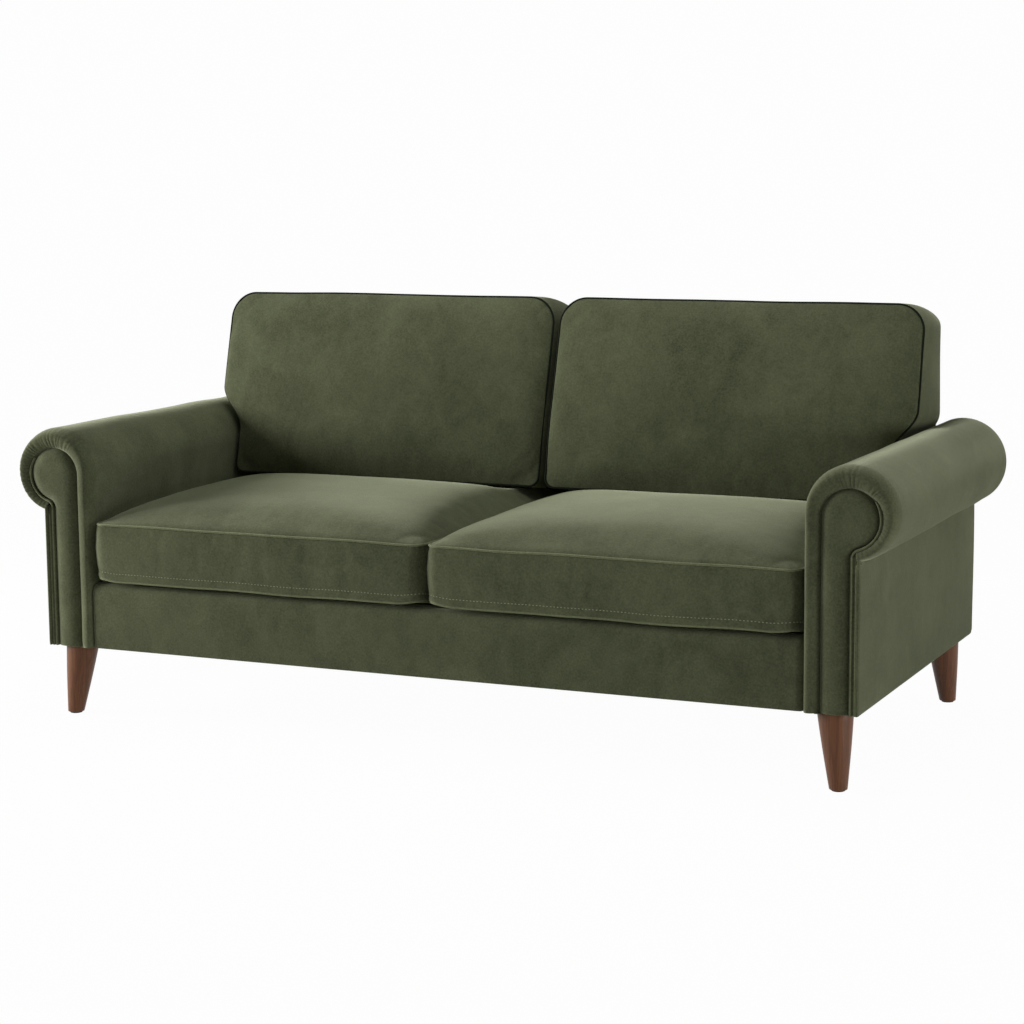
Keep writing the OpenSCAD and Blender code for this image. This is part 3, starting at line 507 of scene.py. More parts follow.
def rounded(point, low, high, radii):
    """A point of a block, moved so that the block's edges are round. low and high are the corners
    of the space that the rounding leaves alone, and radii the reach beyond it along X, Y and Z."""
    kept = Vector(min(max(p, a), b) for p, a, b in zip(point, low, high))
    out = Vector((p - k) / r for p, k, r in zip(point, kept, radii))
    if out.length < 1e-9:
        return point
    out = out.normalized() * max(abs(c) for c in out)
    return kept + Vector(o * r for o, r in zip(out, radii))


def reverse_if_left(bm, side):
    """Mirrors what was made for the right side if side is -1."""
    if side < 0:
        bmesh.ops.scale(bm, vec=(-1, 1, 1), verts=bm.verts)
        bmesh.ops.reverse_faces(bm, faces=bm.faces)
    return bm


def soften(bm, size, reach, keep):
    """Lets a soft surface wander a little. keep says how much of it a point takes."""
    for vert in bm.verts:
        vert.co += wander(vert.co, size, reach * keep(vert.co))


def new_piece(name, shape, finish, body, replaced=()):
    """A named piece from a bmesh or a mesh, which rides on its body and stands for its nodes."""
    if isinstance(shape, bmesh.types.BMesh):
        mesh = bpy.data.meshes.new(name)
        shape.to_mesh(mesh)
        shape.free()
    else:
        mesh = shape
        mesh.name = name
    piece = bpy.data.objects.new(name, mesh)
    bpy.context.scene.collection.objects.link(piece)
    mesh.materials.clear()
    mesh.materials.append(material(finish))
    mesh.shade_smooth()
    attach(piece, body)
    if replaced:
        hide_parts(*replaced)
    return piece


def tube(path, radius, closed):
    """A round cord along a path, as a mesh."""
    curve = bpy.data.curves.new("cord", "CURVE")
    curve.dimensions = "3D"
    curve.bevel_depth = radius
    curve.bevel_resolution = 2
    curve.use_fill_caps = True
    spline = curve.splines.new("POLY")
    spline.points.add(len(path) - 1)
    for spot, at in zip(spline.points, path):
        spot.co = (*at, 1.0)
    spline.use_cyclic_u = closed
    holder = bpy.data.objects.new("cord", curve)
    bpy.context.scene.collection.objects.link(holder)
    shown = holder.evaluated_get(bpy.context.evaluated_depsgraph_get())
    mesh = bpy.data.meshes.new_from_object(shown)
    bpy.data.objects.remove(holder)
    bpy.data.curves.remove(curve)
    return mesh


def join(bm, other):
    """Adds another bmesh to the first, and frees it."""
    mesh = bpy.data.meshes.new("joined")
    other.to_mesh(mesh)
    other.free()
    bm.from_mesh(mesh)
    bpy.data.meshes.remove(mesh)


def tubes(parts):
    """Several cords as one bmesh. Each part is a path, its radius and whether it is closed."""
    bm = bmesh.new()
    for path, radius, closed in parts:
        mesh = tube(path, radius, closed)
        bm.from_mesh(mesh)
        bpy.data.meshes.remove(mesh)
    return bm


# Rounds of averaging that take the fine folds out of a filled cover
CALM_ROUNDS = 26


def inflate(piece, held, pressure, swell, frames=20):
    """Fills a cover with air as a cloth simulation, with the held points still, and caps how far
    a point moves."""
    scene = bpy.context.scene
    mesh = piece.data
    before = [v.co.copy() for v in mesh.vertices]
    group = piece.vertex_groups.new(name="held")
    group.add(held, 1.0, "REPLACE")
    cloth = piece.modifiers.new("Filling", "CLOTH")
    values = cloth.settings
    values.vertex_group_mass = "held"
    values.use_pressure = True
    values.uniform_pressure_force = pressure
    values.effector_weights.gravity = 0
    values.quality = 4
    values.tension_stiffness = values.compression_stiffness = 8
    values.shear_stiffness = 4
    values.bending_stiffness = 0.6
    values.shrink_min = -0.025
    cloth.collision_settings.use_collision = False
    cloth.point_cache.frame_start, cloth.point_cache.frame_end = 1, frames
    for number in range(1, frames + 1):
        scene.frame_set(number)
    shown = piece.evaluated_get(bpy.context.evaluated_depsgraph_get())
    after = [v.co.copy() for v in shown.data.vertices]
    piece.modifiers.remove(cloth)
    piece.vertex_groups.remove(group)
    scene.frame_set(1)
    moves = [new - old for old, new in zip(before, after)]
    moves = [move * min(1.0, swell / max(move.length, 1e-9)) for move in moves]
    slow = averaged(mesh, moves, set(held), CALM_ROUNDS)
    for vert, old, fine, broad in zip(mesh.vertices, before, moves, slow):
        vert.co = old + fine.lerp(broad, settings("cushions").calm)


def averaged(mesh, moves, still, rounds):
    """Moves of a mesh's points with their fine folds averaged out. Points in still don't move."""
    near = [[] for _ in mesh.vertices]
    for edge in mesh.edges:
        a, b = edge.vertices
        near[a].append(b)
        near[b].append(a)
    for _ in range(rounds):
        moves = [move if i in still else sum((moves[k] for k in near[i]), move) / (len(near[i]) + 1)
                 for i, move in enumerate(moves)]
    return moves


def subdivided(piece):
    finer = piece.modifiers.new("Smooth", "SUBSURF")
    finer.levels = finer.render_levels = 1


# Cushions

# How far the line where the back cushions rest lies in front of their seams, and how softly the
# seat's crown runs into the slope there
REST_AHEAD, REST_BLEND = 0.010, 0.004
# Faces of the cushions: how steeply the crown drops at a seam, the share that it falls away
# towards the sides, and how round its shoulders are
SEAT_TOP = (7.0, 0.42, 0.6)
BACK_FACE = (11.0, 0.75, 0.5)
BACK_REAR = (24.0, 0.0, 0.5)


def seat_under(y):
    """Height of a seat cushion's underside."""
    return seat_low.z + (seat_high.y - settings("cushions").draw_in - y) * DECK_SLOPE


def rest_height(y):
    """Height that the seat keeps below at a depth: it falls to the line where the back cushions
    rest, and more gently behind it."""
    sizes = settings("cushions")
    line = seam_foot_y() - REST_AHEAD
    slope = sizes.rest_slope if y > line else sizes.ridge_slope
    return sizes.rest_height + (line - y) * math.tan(slope)


def seam_foot_y():
    """Depth of the lower edge of a back cushion's front seam."""
    return cushion_high.y - settings("cushions").back_thick


def seam_face_y(z):
    """Depth of the plane that a back cushion's front seam lies in."""
    sizes = settings("cushions")
    return seam_foot_y() + (z - sizes.rest_height) * math.tan(sizes.back_lean)


def eased(share_of_way, gather_up=0.3):
    """A place from -1 to 1, moved so that an even mesh is finer towards both ends."""
    return share_of_way * (1 + gather_up * (1 - share_of_way ** 2))


def crown(u, v, steepness, fall, roundness):
    """Share of the crown that stands at a place of a face from -1 to 1 each way."""
    shoulders = max((1 - abs(u) ** steepness) * (1 - abs(v) ** steepness), 0.0) ** roundness
    return shoulders * (1 - fall * u ** 2) * (1 - fall * v ** 2)


def rows(total, seams, cell):
    """Heights of a border's rows from 0 to total, close beside each seam and a cell apart away
    from them."""
    near = (-0.0028, -0.0012, 0.0, 0.0012, 0.0028)
    fine = {round(seam + step, 5) for seam in seams for step in near if 0 <= seam + step <= total}
    fine |= {0.0, round(total, 5)}
    made = sorted(fine)
    for start, end in list(zip(made, made[1:])):
        steps = max(1, round((end - start) / cell))
        made += [mix(start, end, i / steps) for i in range(1, steps)]
    return sorted(made)


def at_row(places, share_of_way):
    """The value of an even list of places at a share from -1 to 1."""
    at = (share_of_way + 1) / 2 * (len(places) - 1)
    first = min(int(at), len(places) - 2)
    return mix(places[first], places[first + 1], at - first)


def groove(value, middle, width):
    """A bell that is 1 at its middle and falls to 0 on both sides."""
    return math.exp(-((value - middle) / width) ** 2)


class SeatForm:
    """The form of the right seat cushion, from its sizes and its node's box."""

    def __init__(self):
        self.sizes = settings("cushions")
        self.middle = (seat_low + seat_high) / 2
        self.half = (seat_high - seat_low) / 2
        lower_roll = 0.0028
        seams = (lower_roll, self.sizes.hem, self.sizes.seat_border)
        self.rows = rows(self.sizes.seat_border, seams, self.sizes.cell)

    def plan(self, u, v, inset):
        """A place seen from above, with the outline drawn in by inset."""
        radius = self.sizes.seat_corner - inset
        half_x, half_y = self.half.x - inset, self.half.y - inset
        place = Vector((u * half_x, v * half_y, 0))
        inner = Vector((half_x - radius, half_y - radius, 0))
        over_x, over_y = abs(place.x) - inner.x, abs(place.y) - inner.y
        if over_x > 0 and over_y > 0:
            out = Vector((over_x, over_y)).normalized() * max(over_x, over_y)
            place = Vector((math.copysign(inner.x + out.x, u), math.copysign(inner.y + out.y, v), 0))
        return place.x + self.middle.x, place.y + self.middle.y

    def inset(self, height):
        """How far the border lies inside the outline at a height above the underside. Above the
        lower seam it stands out like a cushion, and below it like a roll."""
        sizes = self.sizes
        if height > sizes.hem:
            up = (height - sizes.hem) / (sizes.seat_border - sizes.hem)
            return (sizes.draw_in if up > 0.5 else sizes.hem_draw_in) * (2 * up - 1) ** 2
        fullest = 0.35 * sizes.hem
        if height > fullest:
            return sizes.hem_draw_in * ((height - fullest) / (sizes.hem - fullest)) ** 2
        return sizes.tuck * (1 - height / fullest) ** 2

    def corner(self, u, v):
        """How far a place takes part in what is done to a lower corner."""
        start = 0.84
        return smooth(start, 1.0, abs(u)) * smooth(start, 1.0, abs(v))

    def under(self, u, v, y):
        """Height of the underside, which is lifted at the corners."""
        return seat_under(y) + self.sizes.corner_lift * self.corner(u, v)

    def on_border(self, u, v, height, out=0.0):
        """A place on the border at a height, a little outside it."""
        up = height / self.sizes.seat_border
        tucked = self.sizes.corner_tuck * self.corner(u, v) * (1 - up) ** 3
        x, y = self.plan(u, v, self.inset(height) + tucked - out)
        return Vector((x, y, mix(self.under(u, v, y), self.top(1, 1, y), up)))

    def top(self, u, v, y):
        """Height of the top: the crown, softly cut off at the slope that carries the backs."""
        rise = self.sizes.seat_crown * crown(u, v, *SEAT_TOP)
        front = seat_under(FRONT_Y) + self.sizes.seat_border
        over = (front + rise - rest_height(y)) / REST_BLEND
        return front + rise - REST_BLEND * (max(over, 0.0) + math.log1p(math.exp(-abs(over))))

    def place(self, u, v, w):
        """Where a point of the block of cells goes. w runs up the border."""
        u, v = eased(u), eased(v)
        if max(abs(u), abs(v)) > ON_EDGE:
            return self.on_border(u, v, at_row(self.rows, w))
        inset = self.inset(self.sizes.seat_border if w > 0 else 0.0)
        x, y = self.plan(u, v, inset)
        return Vector((x, y, self.top(u, v, y) if w > 0 else self.under(u, v, y)))


def edge_loop(cells):
    """Places from -1 to 1 round the edge of a square, in order."""
    side = [i / cells for i in range(-cells, cells)]
    return ([(i, -1.0) for i in side] + [(1.0, i) for i in side]
            + [(-i, 1.0) for i in side] + [(-1.0, -i) for i in side])


def seat_ring(form, height, out, cells=110):
    """Places round a seat cushion's border at a height, a little outside it."""
    return [form.on_border(u, v, height, out) for u, v in edge_loop(cells)]


def beside_arm(z):
    """The furthest that a right back cushion reaches outwards at a height, beside and over the arm."""
    rise = z - SCROLL_Z
    if rise > SCROLL_R:
        return cushion_high.x
    if rise < 0:
        return pad_low.x - CLEAR
    return SCROLL_X - math.sqrt(SCROLL_R ** 2 - rise ** 2) - 2 * CLEAR


class BackForm:
    """The form of the right back cushion, from its sizes and its node's box."""

    def __init__(self):
        self.sizes = settings("cushions")
        self.low = rest_height(cushion_high.y) + CLEAR
        fall, drawn = self.sizes.back_fall, self.sizes.back_draw_in
        # The border stands highest between its seams, and there it reaches the top of its box
        self.top = cushion_high.z + fall / 2 - fall ** 2 / (16 * drawn)
        self.rear_y = cushion_high.y - self.sizes.rear_seam
        self.depth = self.rear_y - seam_face_y((self.low + self.top) / 2)
        self.rows = rows(self.depth, (0.0, self.depth), self.sizes.cell)

    def outer_x(self, z):
        """The outer side: it follows the arm, and reaches over it above."""
        sizes = self.sizes
        start, end = SCROLL_Z + sizes.ear_above_scroll, pad_high.z + sizes.ear_above_arm
        at = min(max((z - start) / (end - start), 0.0), 1.0)
        return mix(seat_high.x, cushion_high.x, (1 - math.cos(math.pi * at)) / 2)

    def plan(self, u, w, at):
        """A place seen from the front, at a share of the way from the front seam to the rear."""
        sizes = self.sizes
        inset = self.inset(at)
        z = mix(self.low + inset, self.top - inset, (w + 1) / 2)
        corner = mix(sizes.back_corner, sizes.rear_corner, at)
        radius = (corner if w > 0 else sizes.back_foot) - inset
        x0, x1 = cushion_low.x + inset, self.outer_x(z) - inset
        x = mix(x0, x1, (u + 1) / 2)
        inner_z = self.top - inset - radius if w > 0 else self.low + inset + radius
        inner_x = x1 - radius if u > 0 else x0 + radius
        over_x = (x - inner_x) * (1 if u > 0 else -1)
        over_z = (z - inner_z) * (1 if w > 0 else -1)
        if over_x > 0 and over_z > 0:
            out = Vector((over_x, over_z)).normalized() * max(over_x, over_z)
            x = inner_x + out.x * (1 if u > 0 else -1)
            z = inner_z + out.y * (1 if w > 0 else -1)
        return x, z

    def lifted(self, z, at):
        """A height between the slope of the seat and the falling top, at a share of the way from
        the front seam to the rear seam."""
        foot = rest_height(mix(seam_foot_y(), self.rear_y, at)) + CLEAR
        return mix(foot, self.top - at * self.sizes.back_fall, (z - self.low) / (self.top - self.low))

    def inset(self, at):
        """How far the border is drawn in, which is most at both seams."""
        return self.sizes.back_draw_in * (2 * at - 1) ** 2

    def place(self, u, v, w):
        """Where a point of the block of cells goes. v runs from the face to the rear."""
        sizes = self.sizes
        u, w = eased(u), eased(w)
        if max(abs(u), abs(w)) > ON_EDGE:
            at = at_row(self.rows, v) / self.depth
            x, z = self.plan(u, w, at)
            z = self.lifted(z, at)
            return Vector((x, mix(seam_face_y(z), self.rear_y, at), z))
        x, z = self.plan(u, w, 1 if v > 0 else 0)
        if v > 0:
            y = self.rear_y + sizes.rear_seam * crown(u, w, *BACK_REAR)
            return Vector((x, y, self.lifted(z, 1)))
        z = self.lifted(z, 0)
        return Vector((x, seam_face_y(z) - sizes.back_crown * crown(u, w, *BACK_FACE), z))


def back_ring(form, outside, forward, cells=100):
    """Places round a back cushion's front seam, a little outside it and in front of it."""
    seam = []
    for u, w in edge_loop(cells):
        x, z = form.plan(u, w, 0)
        seam.append(Vector((x, 0, form.lifted(z, 0))))
    made = []
    for i, spot in enumerate(seam):
        run = (seam[(i + 1) % len(seam)] - seam[i - 1]).normalized()
        out = spot + Vector((run.z, 0, -run.x)) * outside
        made.append(Vector((out.x, seam_face_y(out.z) - forward, out.z)))
    return made


def drift(point):
    """How far a cushion's surface wanders from its form at a point."""
    return wander(point, 0.16, settings("panels").wander * 1.6)


def fill_cover(name, form, cells, side, body, node, held, limits):
    """Makes a cushion's cover from its form, fills it with air and keeps it inside its limits."""
    sizes = settings("cushions")
    bm = grid_block(cells)
    fixed = []
    for vert in bm.verts:
        if held(*vert.co):
            fixed.append(vert.index)
        vert.co = form.place(*vert.co)
    bmesh.ops.recalc_face_normals(bm, faces=bm.faces)
    reverse_if_left(bm, side)
    piece = new_piece(name, bm, "velvet", body, [node])
    inflate(piece, fixed, sizes.pressure, sizes.swell)
    for vert in piece.data.vertices:
        spot = Vector((vert.co.x * side, vert.co.y, vert.co.z))
        spot = limits(spot + drift(vert.co))
        vert.co = (spot.x * side, spot.y, spot.z)
    piece.data.update()
    subdivided(piece)
    return piece


def on_side(points, side):
    """Points of the right side, mirrored if side is -1."""
    return [Vector((p.x * side, p.y, p.z)) for p in points]


def drifted(points, side, limits):
    """Points on a cushion, moved to one side and let wander with its cover."""
    moved = []
    for point in on_side(points, side):
        there = point + drift(point)
        inside = limits(Vector((there.x * side, there.y, there.z)))
        moved.append(Vector((inside.x * side, inside.y, inside.z)))
    return moved


def stitches(path, pitch, stitch, radius):
    """Stitches lying along a path, each a small rounded thread."""
    bm = bmesh.new()
    gone = 0.0
    for start, end in zip(path, path[1:] + path[:1]):
        run = (end - start).length
        while gone < run:
            spot = start.lerp(end, gone / run)
            turn = (end - start).to_track_quat("X", "Z").to_matrix().to_4x4()
            size = Matrix.Diagonal((stitch / 2, radius, radius, 1))
            bmesh.ops.create_uvsphere(bm, u_segments=6, v_segments=4, radius=1,
                                      matrix=Matrix.Translation(spot) @ turn @ size)
            gone += pitch
        gone -= run
    return bm


def cells_for(span, cell):
    """Number of cells that a span takes."""
    return max(2, round(span / cell))


# Height of the hem welt above a seat cushion's underside, and of the topstitching above the seam
HEM_WELT_Z, STITCH_ABOVE_HEM = 0.0012, 0.0022
# How far the piping lies inside a back cushion's front seam, and in front of it
PIPING_INSIDE, PIPING_FORWARD = 0.0006, 0.0002


class SOFA_OT_seat_cushions(bpy.types.Operator):
    """Makes the two seat cushions with their welts and topstitching"""
    bl_idname = "sofa.seat_cushions"
    bl_label = "Seat cushions"

    def execute(self, context):
        form = SeatForm()
        sizes = form.sizes
        cells = (cells_for(2 * form.half.x, sizes.cell), cells_for(2 * form.half.y, sizes.cell),
                 len(form.rows) - 1)
        # The top seam is held with the row under it, and the lower seam with the rows beside it
        border_top = 1 - 2.2 / cells[2]
        border_low = sizes.hem + 0.003
        carrying = cushion_low.y - 0.02

        def held(u, v, w):
            on_border = max(abs(u), abs(v)) > ON_EDGE
            low_row = at_row(form.rows, w) < border_low
            return w < -ON_EDGE or (on_border and (low_row or w > border_top))

        def limits(spot):
            x = min(max(spot.x, seat_low.x), seat_high.x)
            z = spot.z
            if spot.y > carrying:
                z = min(z, rest_height(spot.y))
            return Vector((x, spot.y, max(z, seat_under(spot.y))))

        for name, side in SIDES.items():
            body = f"seat_cushion_{name}"
            fill_cover(f"seat_cushion_cover_{name}", form, cells, side, body, f"seat_cover_{name}",
                       held, limits)
            welts = []
            for height, radius in ((sizes.seat_border, sizes.welt_r), (HEM_WELT_Z, sizes.hem_welt_r)):
                ring = seat_ring(form, height, radius * 0.5)
                welts.append((drifted(ring, side, limits), radius, True))
            # The welts take the lighter copy of the velvet, a painted highlight
            new_piece(f"seat_cushion_welts_{name}", tubes(welts), "velvet_welt", body)
            above_hem = seat_ring(form, sizes.hem + STITCH_ABOVE_HEM, sizes.stitch_r * 0.6)
            seam = drifted(above_hem, side, limits)
            thread = stitches(seam, sizes.stitch_pitch, sizes.stitch_length, sizes.stitch_r)
            new_piece(f"seat_cushion_topstitch_{name}", thread, "thread", body)
        return {"FINISHED"}


class SOFA_OT_back_cushions(bpy.types.Operator):
    """Makes the two back cushions with their dark piping"""
    bl_idname = "sofa.back_cushions"
    bl_label = "Back cushions"

    def execute(self, context):
        form = BackForm()
        sizes = form.sizes
        cells = (cells_for(cushion_high.x - cushion_low.x, sizes.cell), len(form.rows) - 1,
                 cells_for(form.top - form.low, sizes.cell))

        def held(u, v, w):
            return v > ON_EDGE or max(abs(u), abs(w)) > ON_EDGE

        def limits(spot):
            x = min(max(spot.x, cushion_low.x), cushion_high.x, beside_arm(spot.z))
            y = min(spot.y, cushion_high.y)
            return Vector((x, y, max(spot.z, rest_height(y) + CLEAR)))

        for name, side in SIDES.items():
            body = f"back_cushion_{name}"
            fill_cover(f"back_cushion_cover_{name}", form, cells, side, body, f"back_cover_{name}",
                       held, limits)
            path = drifted(back_ring(form, -PIPING_INSIDE, PIPING_FORWARD), side, limits)
            new_piece(f"back_cushion_piping_{name}", tube(path, sizes.piping_r, True), "piping", body,
                      [f"back_piping_{name}"])
        return {"FINISHED"}


class SOFA_OT_cushion_cores(bpy.types.Operator):
    """Makes the foam cores inside the four cushions"""
    bl_idname = "sofa.cushion_cores"
    bl_label = "Cushion cores"

    def execute(self, context):
        radius = 0.016
        for kind in ("seat", "back"):
            low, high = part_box(f"{kind}_core_right")
            slope = DECK_SLOPE if kind == "seat" else 0.0
            drop = (high.y - low.y) * slope
            for name, side in SIDES.items():
                bm = grid_block((36, 20, 12))
                for vert in bm.verts:
                    at = (vert.co + Vector((1, 1, 1))) / 2
                    spot = Vector(mix(low[i], high[i], at[i]) for i in range(3))
                    edge = Vector((radius,) * 3)
                    spot = rounded(spot, low + edge, high - edge, edge)
                    spot.z -= drop * (at.y - 0.5)
                    vert.co = spot
                bmesh.ops.recalc_face_normals(bm, faces=bm.faces)
                reverse_if_left(bm, side)
                new_piece(f"{kind}_foam_core_{name}", bm, "foam", f"{kind}_cushion_{name}",
                          [f"{kind}_core_{name}"])
        return {"FINISHED"}


# Arms

# How far back the gathers run, in depths of the front roll
GATHER_REACH = 2.2
# The arm's cover turns under the hem, inwards and along the arm
HEM_LAP_X, HEM_LAP_Y = 0.012, 0.008


def ring_width(turn):
    """Width of the front roll, from the scroll's surface to the facing, at a turn round the
    scroll: 0 on the inside and a half turn on the outside, where a welt takes some of it."""
    drop = SCROLL_Z - FACING_Z
    reach = -drop * math.sin(turn) + math.sqrt(FACING_R ** 2 - (drop * math.cos(turn)) ** 2)
    room_for_welt = 1.6 * WELT_R * smooth(math.radians(130), math.radians(165), turn)
    return SCROLL_R - reach - room_for_welt


def arm_profile(sizes):
    """The arm's section seen from above, from the crease beside the facing, over the front roll
    and along the arm, to the return at the rear: how far it lies inside the arm, and its depth."""
    width = facing_low.x - pad_low.x
    crest = sizes.crest * width
    crease = CREASE_Y - sizes.cover - FRONT_Y
    behind_facing = 0.007
    profile = [(width + behind_facing, FRONT_Y + crease)]
    for i in range(11):
        angle = math.pi / 2 * (1 - i / 10)
        fallen = 1 - math.cos(angle) ** sizes.fullness
        profile.append((mix(crest, width, math.sin(angle)), FRONT_Y + crease * fallen))
    for i in range(1, 11):
        angle = math.pi / 2 * i / 10
        fallen = 1 - math.cos(angle) ** sizes.fullness
        profile.append((crest * (1 - math.sin(angle)), FRONT_Y + sizes.roll_d * fallen))
    start, end = FRONT_Y + sizes.roll_d, BACK_Y - sizes.rear_round
    profile += [(0.0, mix(start, end, i / 30)) for i in range(1, 30)]
    for i in range(6):
        angle = math.pi / 2 * i / 5
        profile.append((sizes.rear_round * (1 - math.cos(angle)),
                        end + sizes.rear_round * math.sin(angle)))
    inside, return_depth = rear_panel_low.x - pad_low.x, 0.004
    return profile + [(inside, BACK_Y), (inside + 0.001, BACK_Y - return_depth)]


def arm_cover(sizes):
    """The padded cover of the right arm: up the inside, over the scroll and under it."""
    bm = bmesh.new()
    chain = [bm.verts.new((pad_low.x + inset, y, HEM_Z)) for inset, y in arm_profile(sizes)]
    low_edges = [bm.edges.new(pair) for pair in zip(chain, chain[1:])]
    rise = SCROLL_Z - HEM_Z
    made = bmesh.ops.extrude_edge_only(bm, edges=low_edges)["geom"]
    tops = [g for g in made if isinstance(g, bmesh.types.BMVert)]
    bmesh.ops.translate(bm, verts=tops, vec=(0, 0, rise))
    uprights = [e for e in bm.edges if abs(e.verts[0].co.z - e.verts[1].co.z) > rise / 2]
    top_edges = [e for e in bm.edges if min(v.co.z for v in e.verts) > SCROLL_Z - 1e-6]
    bmesh.ops.subdivide_edges(bm, edges=uprights, cuts=34)
    # The cover runs a little past the place where the outside panel meets the scroll
    end_turn = math.pi + JUNCTION + math.radians(3)
    bmesh.ops.spin(bm, geom=top_edges, cent=(SCROLL_X, 0, SCROLL_Z), axis=(0, 1, 0), angle=end_turn,
                   steps=210)
    hem = [e for e in bm.edges if max(v.co.z for v in e.verts) < HEM_Z + 1e-6]
    made = bmesh.ops.extrude_edge_only(bm, edges=hem)["geom"]
    for vert in (g for g in made if isinstance(g, bmesh.types.BMVert)):
        middle = mix(FRONT_Y, BACK_Y, 0.5)
        vert.co.x += HEM_LAP_X
        vert.co.y += math.copysign(HEM_LAP_Y, middle - vert.co.y)
    bmesh.ops.remove_doubles(bm, verts=bm.verts, dist=1e-5)
    bmesh.ops.recalc_face_normals(bm, faces=bm.faces)
    shape_arm(bm, sizes)
    return bm


def shape_arm(bm, sizes):
    """Fits the front roll to the facing, and gathers the cloth round the scroll."""
    width = facing_low.x - pad_low.x
    bm.normal_update()
    moves = []
    for vert in bm.verts:
        spot = vert.co
        outward = Vector((spot.x - SCROLL_X, 0, spot.z - SCROLL_Z))
        on_scroll = spot.z > SCROLL_Z + 1e-6 or spot.x > SCROLL_X
        move = Vector()
        if on_scroll and outward.length > 1e-6:
            turn = math.atan2(outward.z, -outward.x) % (2 * math.pi)
            inset = SCROLL_R - outward.length
            if spot.y < FRONT_Y + sizes.roll_d and inset > 0:
                move = outward.normalized() * (inset - inset * ring_width(turn) / width)
            if spot.y < FRONT_Y + GATHER_REACH * sizes.roll_d:
                move += vert.normal * gather(turn, inset / width, spot.y, sizes)
        moves.append(move)
    for vert, move in zip(bm.verts, moves):
        vert.co += move


def gather(turn, inward, y, sizes):
    """Height of the gathers at a turn round the scroll. They are deepest near the facing and fade
    on the arm's surface."""
    uneven = noise.noise(Vector((turn * 4.1, 0.3, 1.7)))
    phase = turn / (2 * math.pi) * sizes.gathers + 0.9 * uneven
    fold = abs(math.sin(math.pi * phase)) ** 0.7 - 0.6
    around = smooth(0.25, 0.9, turn)
    size = 0.55 + 0.75 * noise.noise(Vector((turn * 2.3, 4.1, 0.2)))
    fade = smooth(-0.2, 0.7, inward) * (1 - 0.9 * smooth(0.8, 1.0, inward))
    beside = 0.35 * (1 - smooth(FRONT_Y + 0.01, FRONT_Y + GATHER_REACH * sizes.roll_d, y))
    return sizes.gather_depth * fold * around * size * max(fade, beside * (1 if inward < 0.2 else 0))


def neck(r, head_z, x1, fillet):
    """Height of the middle of the fillet between a stem that ends at x1 and a round head, and the
    turn below the level line where the head runs into it."""
    across = x1 + fillet - SCROLL_X
    z = head_z - math.sqrt((r + fillet) ** 2 - across ** 2)
    return z, math.atan2(head_z - z, across)


def keyhole(bm, r, head_z, x0, x1, fillet, y):
    """Draws a keyhole outline, an upright stem from x0 to x1 with a round head, and returns its
    face."""
    neck_z, neck_turn = neck(r, head_z, x1, fillet)
    foot = bm.verts.new((x0, y, DRAWN_TO_Z))
    shoulder = bm.verts.new((x0, y, head_z))
    bm.edges.new((foot, shoulder))
    made = bmesh.ops.spin(bm, geom=[shoulder], cent=(SCROLL_X, y, head_z), axis=(0, 1, 0),
                          angle=math.pi + neck_turn, steps=72)
    last = next(g for g in made["geom_last"] if isinstance(g, bmesh.types.BMVert))
    if fillet > 0:
        made = bmesh.ops.spin(bm, geom=[last], cent=(x1 + fillet, y, neck_z), axis=(0, 1, 0),
                              angle=-neck_turn, steps=14)
        last = next(g for g in made["geom_last"] if isinstance(g, bmesh.types.BMVert))
    outer = bm.verts.new((x1, y, DRAWN_TO_Z))
    bm.edges.new((last, outer))
    bm.edges.new((outer, foot))
    long_edges = [e for e in bm.edges if e.calc_length() > 0.1]
    bmesh.ops.subdivide_edges(bm, edges=long_edges, cuts=40)
    made = bmesh.ops.contextual_create(bm, geom=bm.edges[:])
    return made["faces"][0]


def pillow(bm, face, profile, tuck):
    """Raises a face forward into a padded form and ends it at the hem, where it is tucked under.
    profile gives how far in and how far forward each step is."""
    bm.normal_update()
    back = face.calc_center_median().y
    rim = face.edges[:]
    gone_in, gone_out = 0.0, 0.0
    for inward, outward in profile:
        bmesh.ops.inset_region(bm, faces=[face], thickness=inward - gone_in, depth=0.0,
                               use_boundary=True, use_even_offset=True)
        bmesh.ops.translate(bm, verts=face.verts, vec=(0, gone_out - outward, 0))
        gone_in, gone_out = inward, outward
    bmesh.ops.contextual_create(bm, geom=rim)
    for height in (2 * tuck, tuck, 0.6 * tuck, 0.3 * tuck, 0.1 * tuck):
        bmesh.ops.bisect_plane(bm, geom=[*bm.verts, *bm.edges, *bm.faces],
                               plane_co=(0, 0, HEM_Z + height), plane_no=(0, 0, -1))
    bmesh.ops.bisect_plane(bm, geom=[*bm.verts, *bm.edges, *bm.faces], plane_co=(0, 0, HEM_Z),
                           plane_no=(0, 0, -1), clear_outer=True)
    bmesh.ops.contextual_create(bm, geom=[e for e in bm.edges if e.is_boundary])
    for vert in bm.verts:
        under = min((vert.co.z - HEM_Z) / tuck, 1.0)
        kept = mix(0.72, 1.0, math.sqrt(1 - (1 - under) ** 2))
        vert.co.y = mix(back, vert.co.y, kept)
    bmesh.ops.triangulate(bm, faces=[f for f in bm.faces if len(f.verts) > 4])
    bmesh.ops.recalc_face_normals(bm, faces=bm.faces)


def facing_cover(sizes):
    """The padded facing of the right arm, domed from edge to edge."""
    bm = bmesh.new()
    face = keyhole(bm, FACING_R, FACING_Z, facing_low.x, FACING_OUTER_X, NECK_R, CREASE_Y)
    half = (FACING_OUTER_X - facing_low.x) / 2 - 0.001
    profile = []
    for i in range(1, 15):
        angle = math.pi / 2 * i / 14
        rise = sizes.facing_rise * math.sin(angle) ** sizes.fullness
        profile.append((half * (1 - math.cos(angle)), rise))
    pillow(bm, face, profile, 0.006)
    return bm


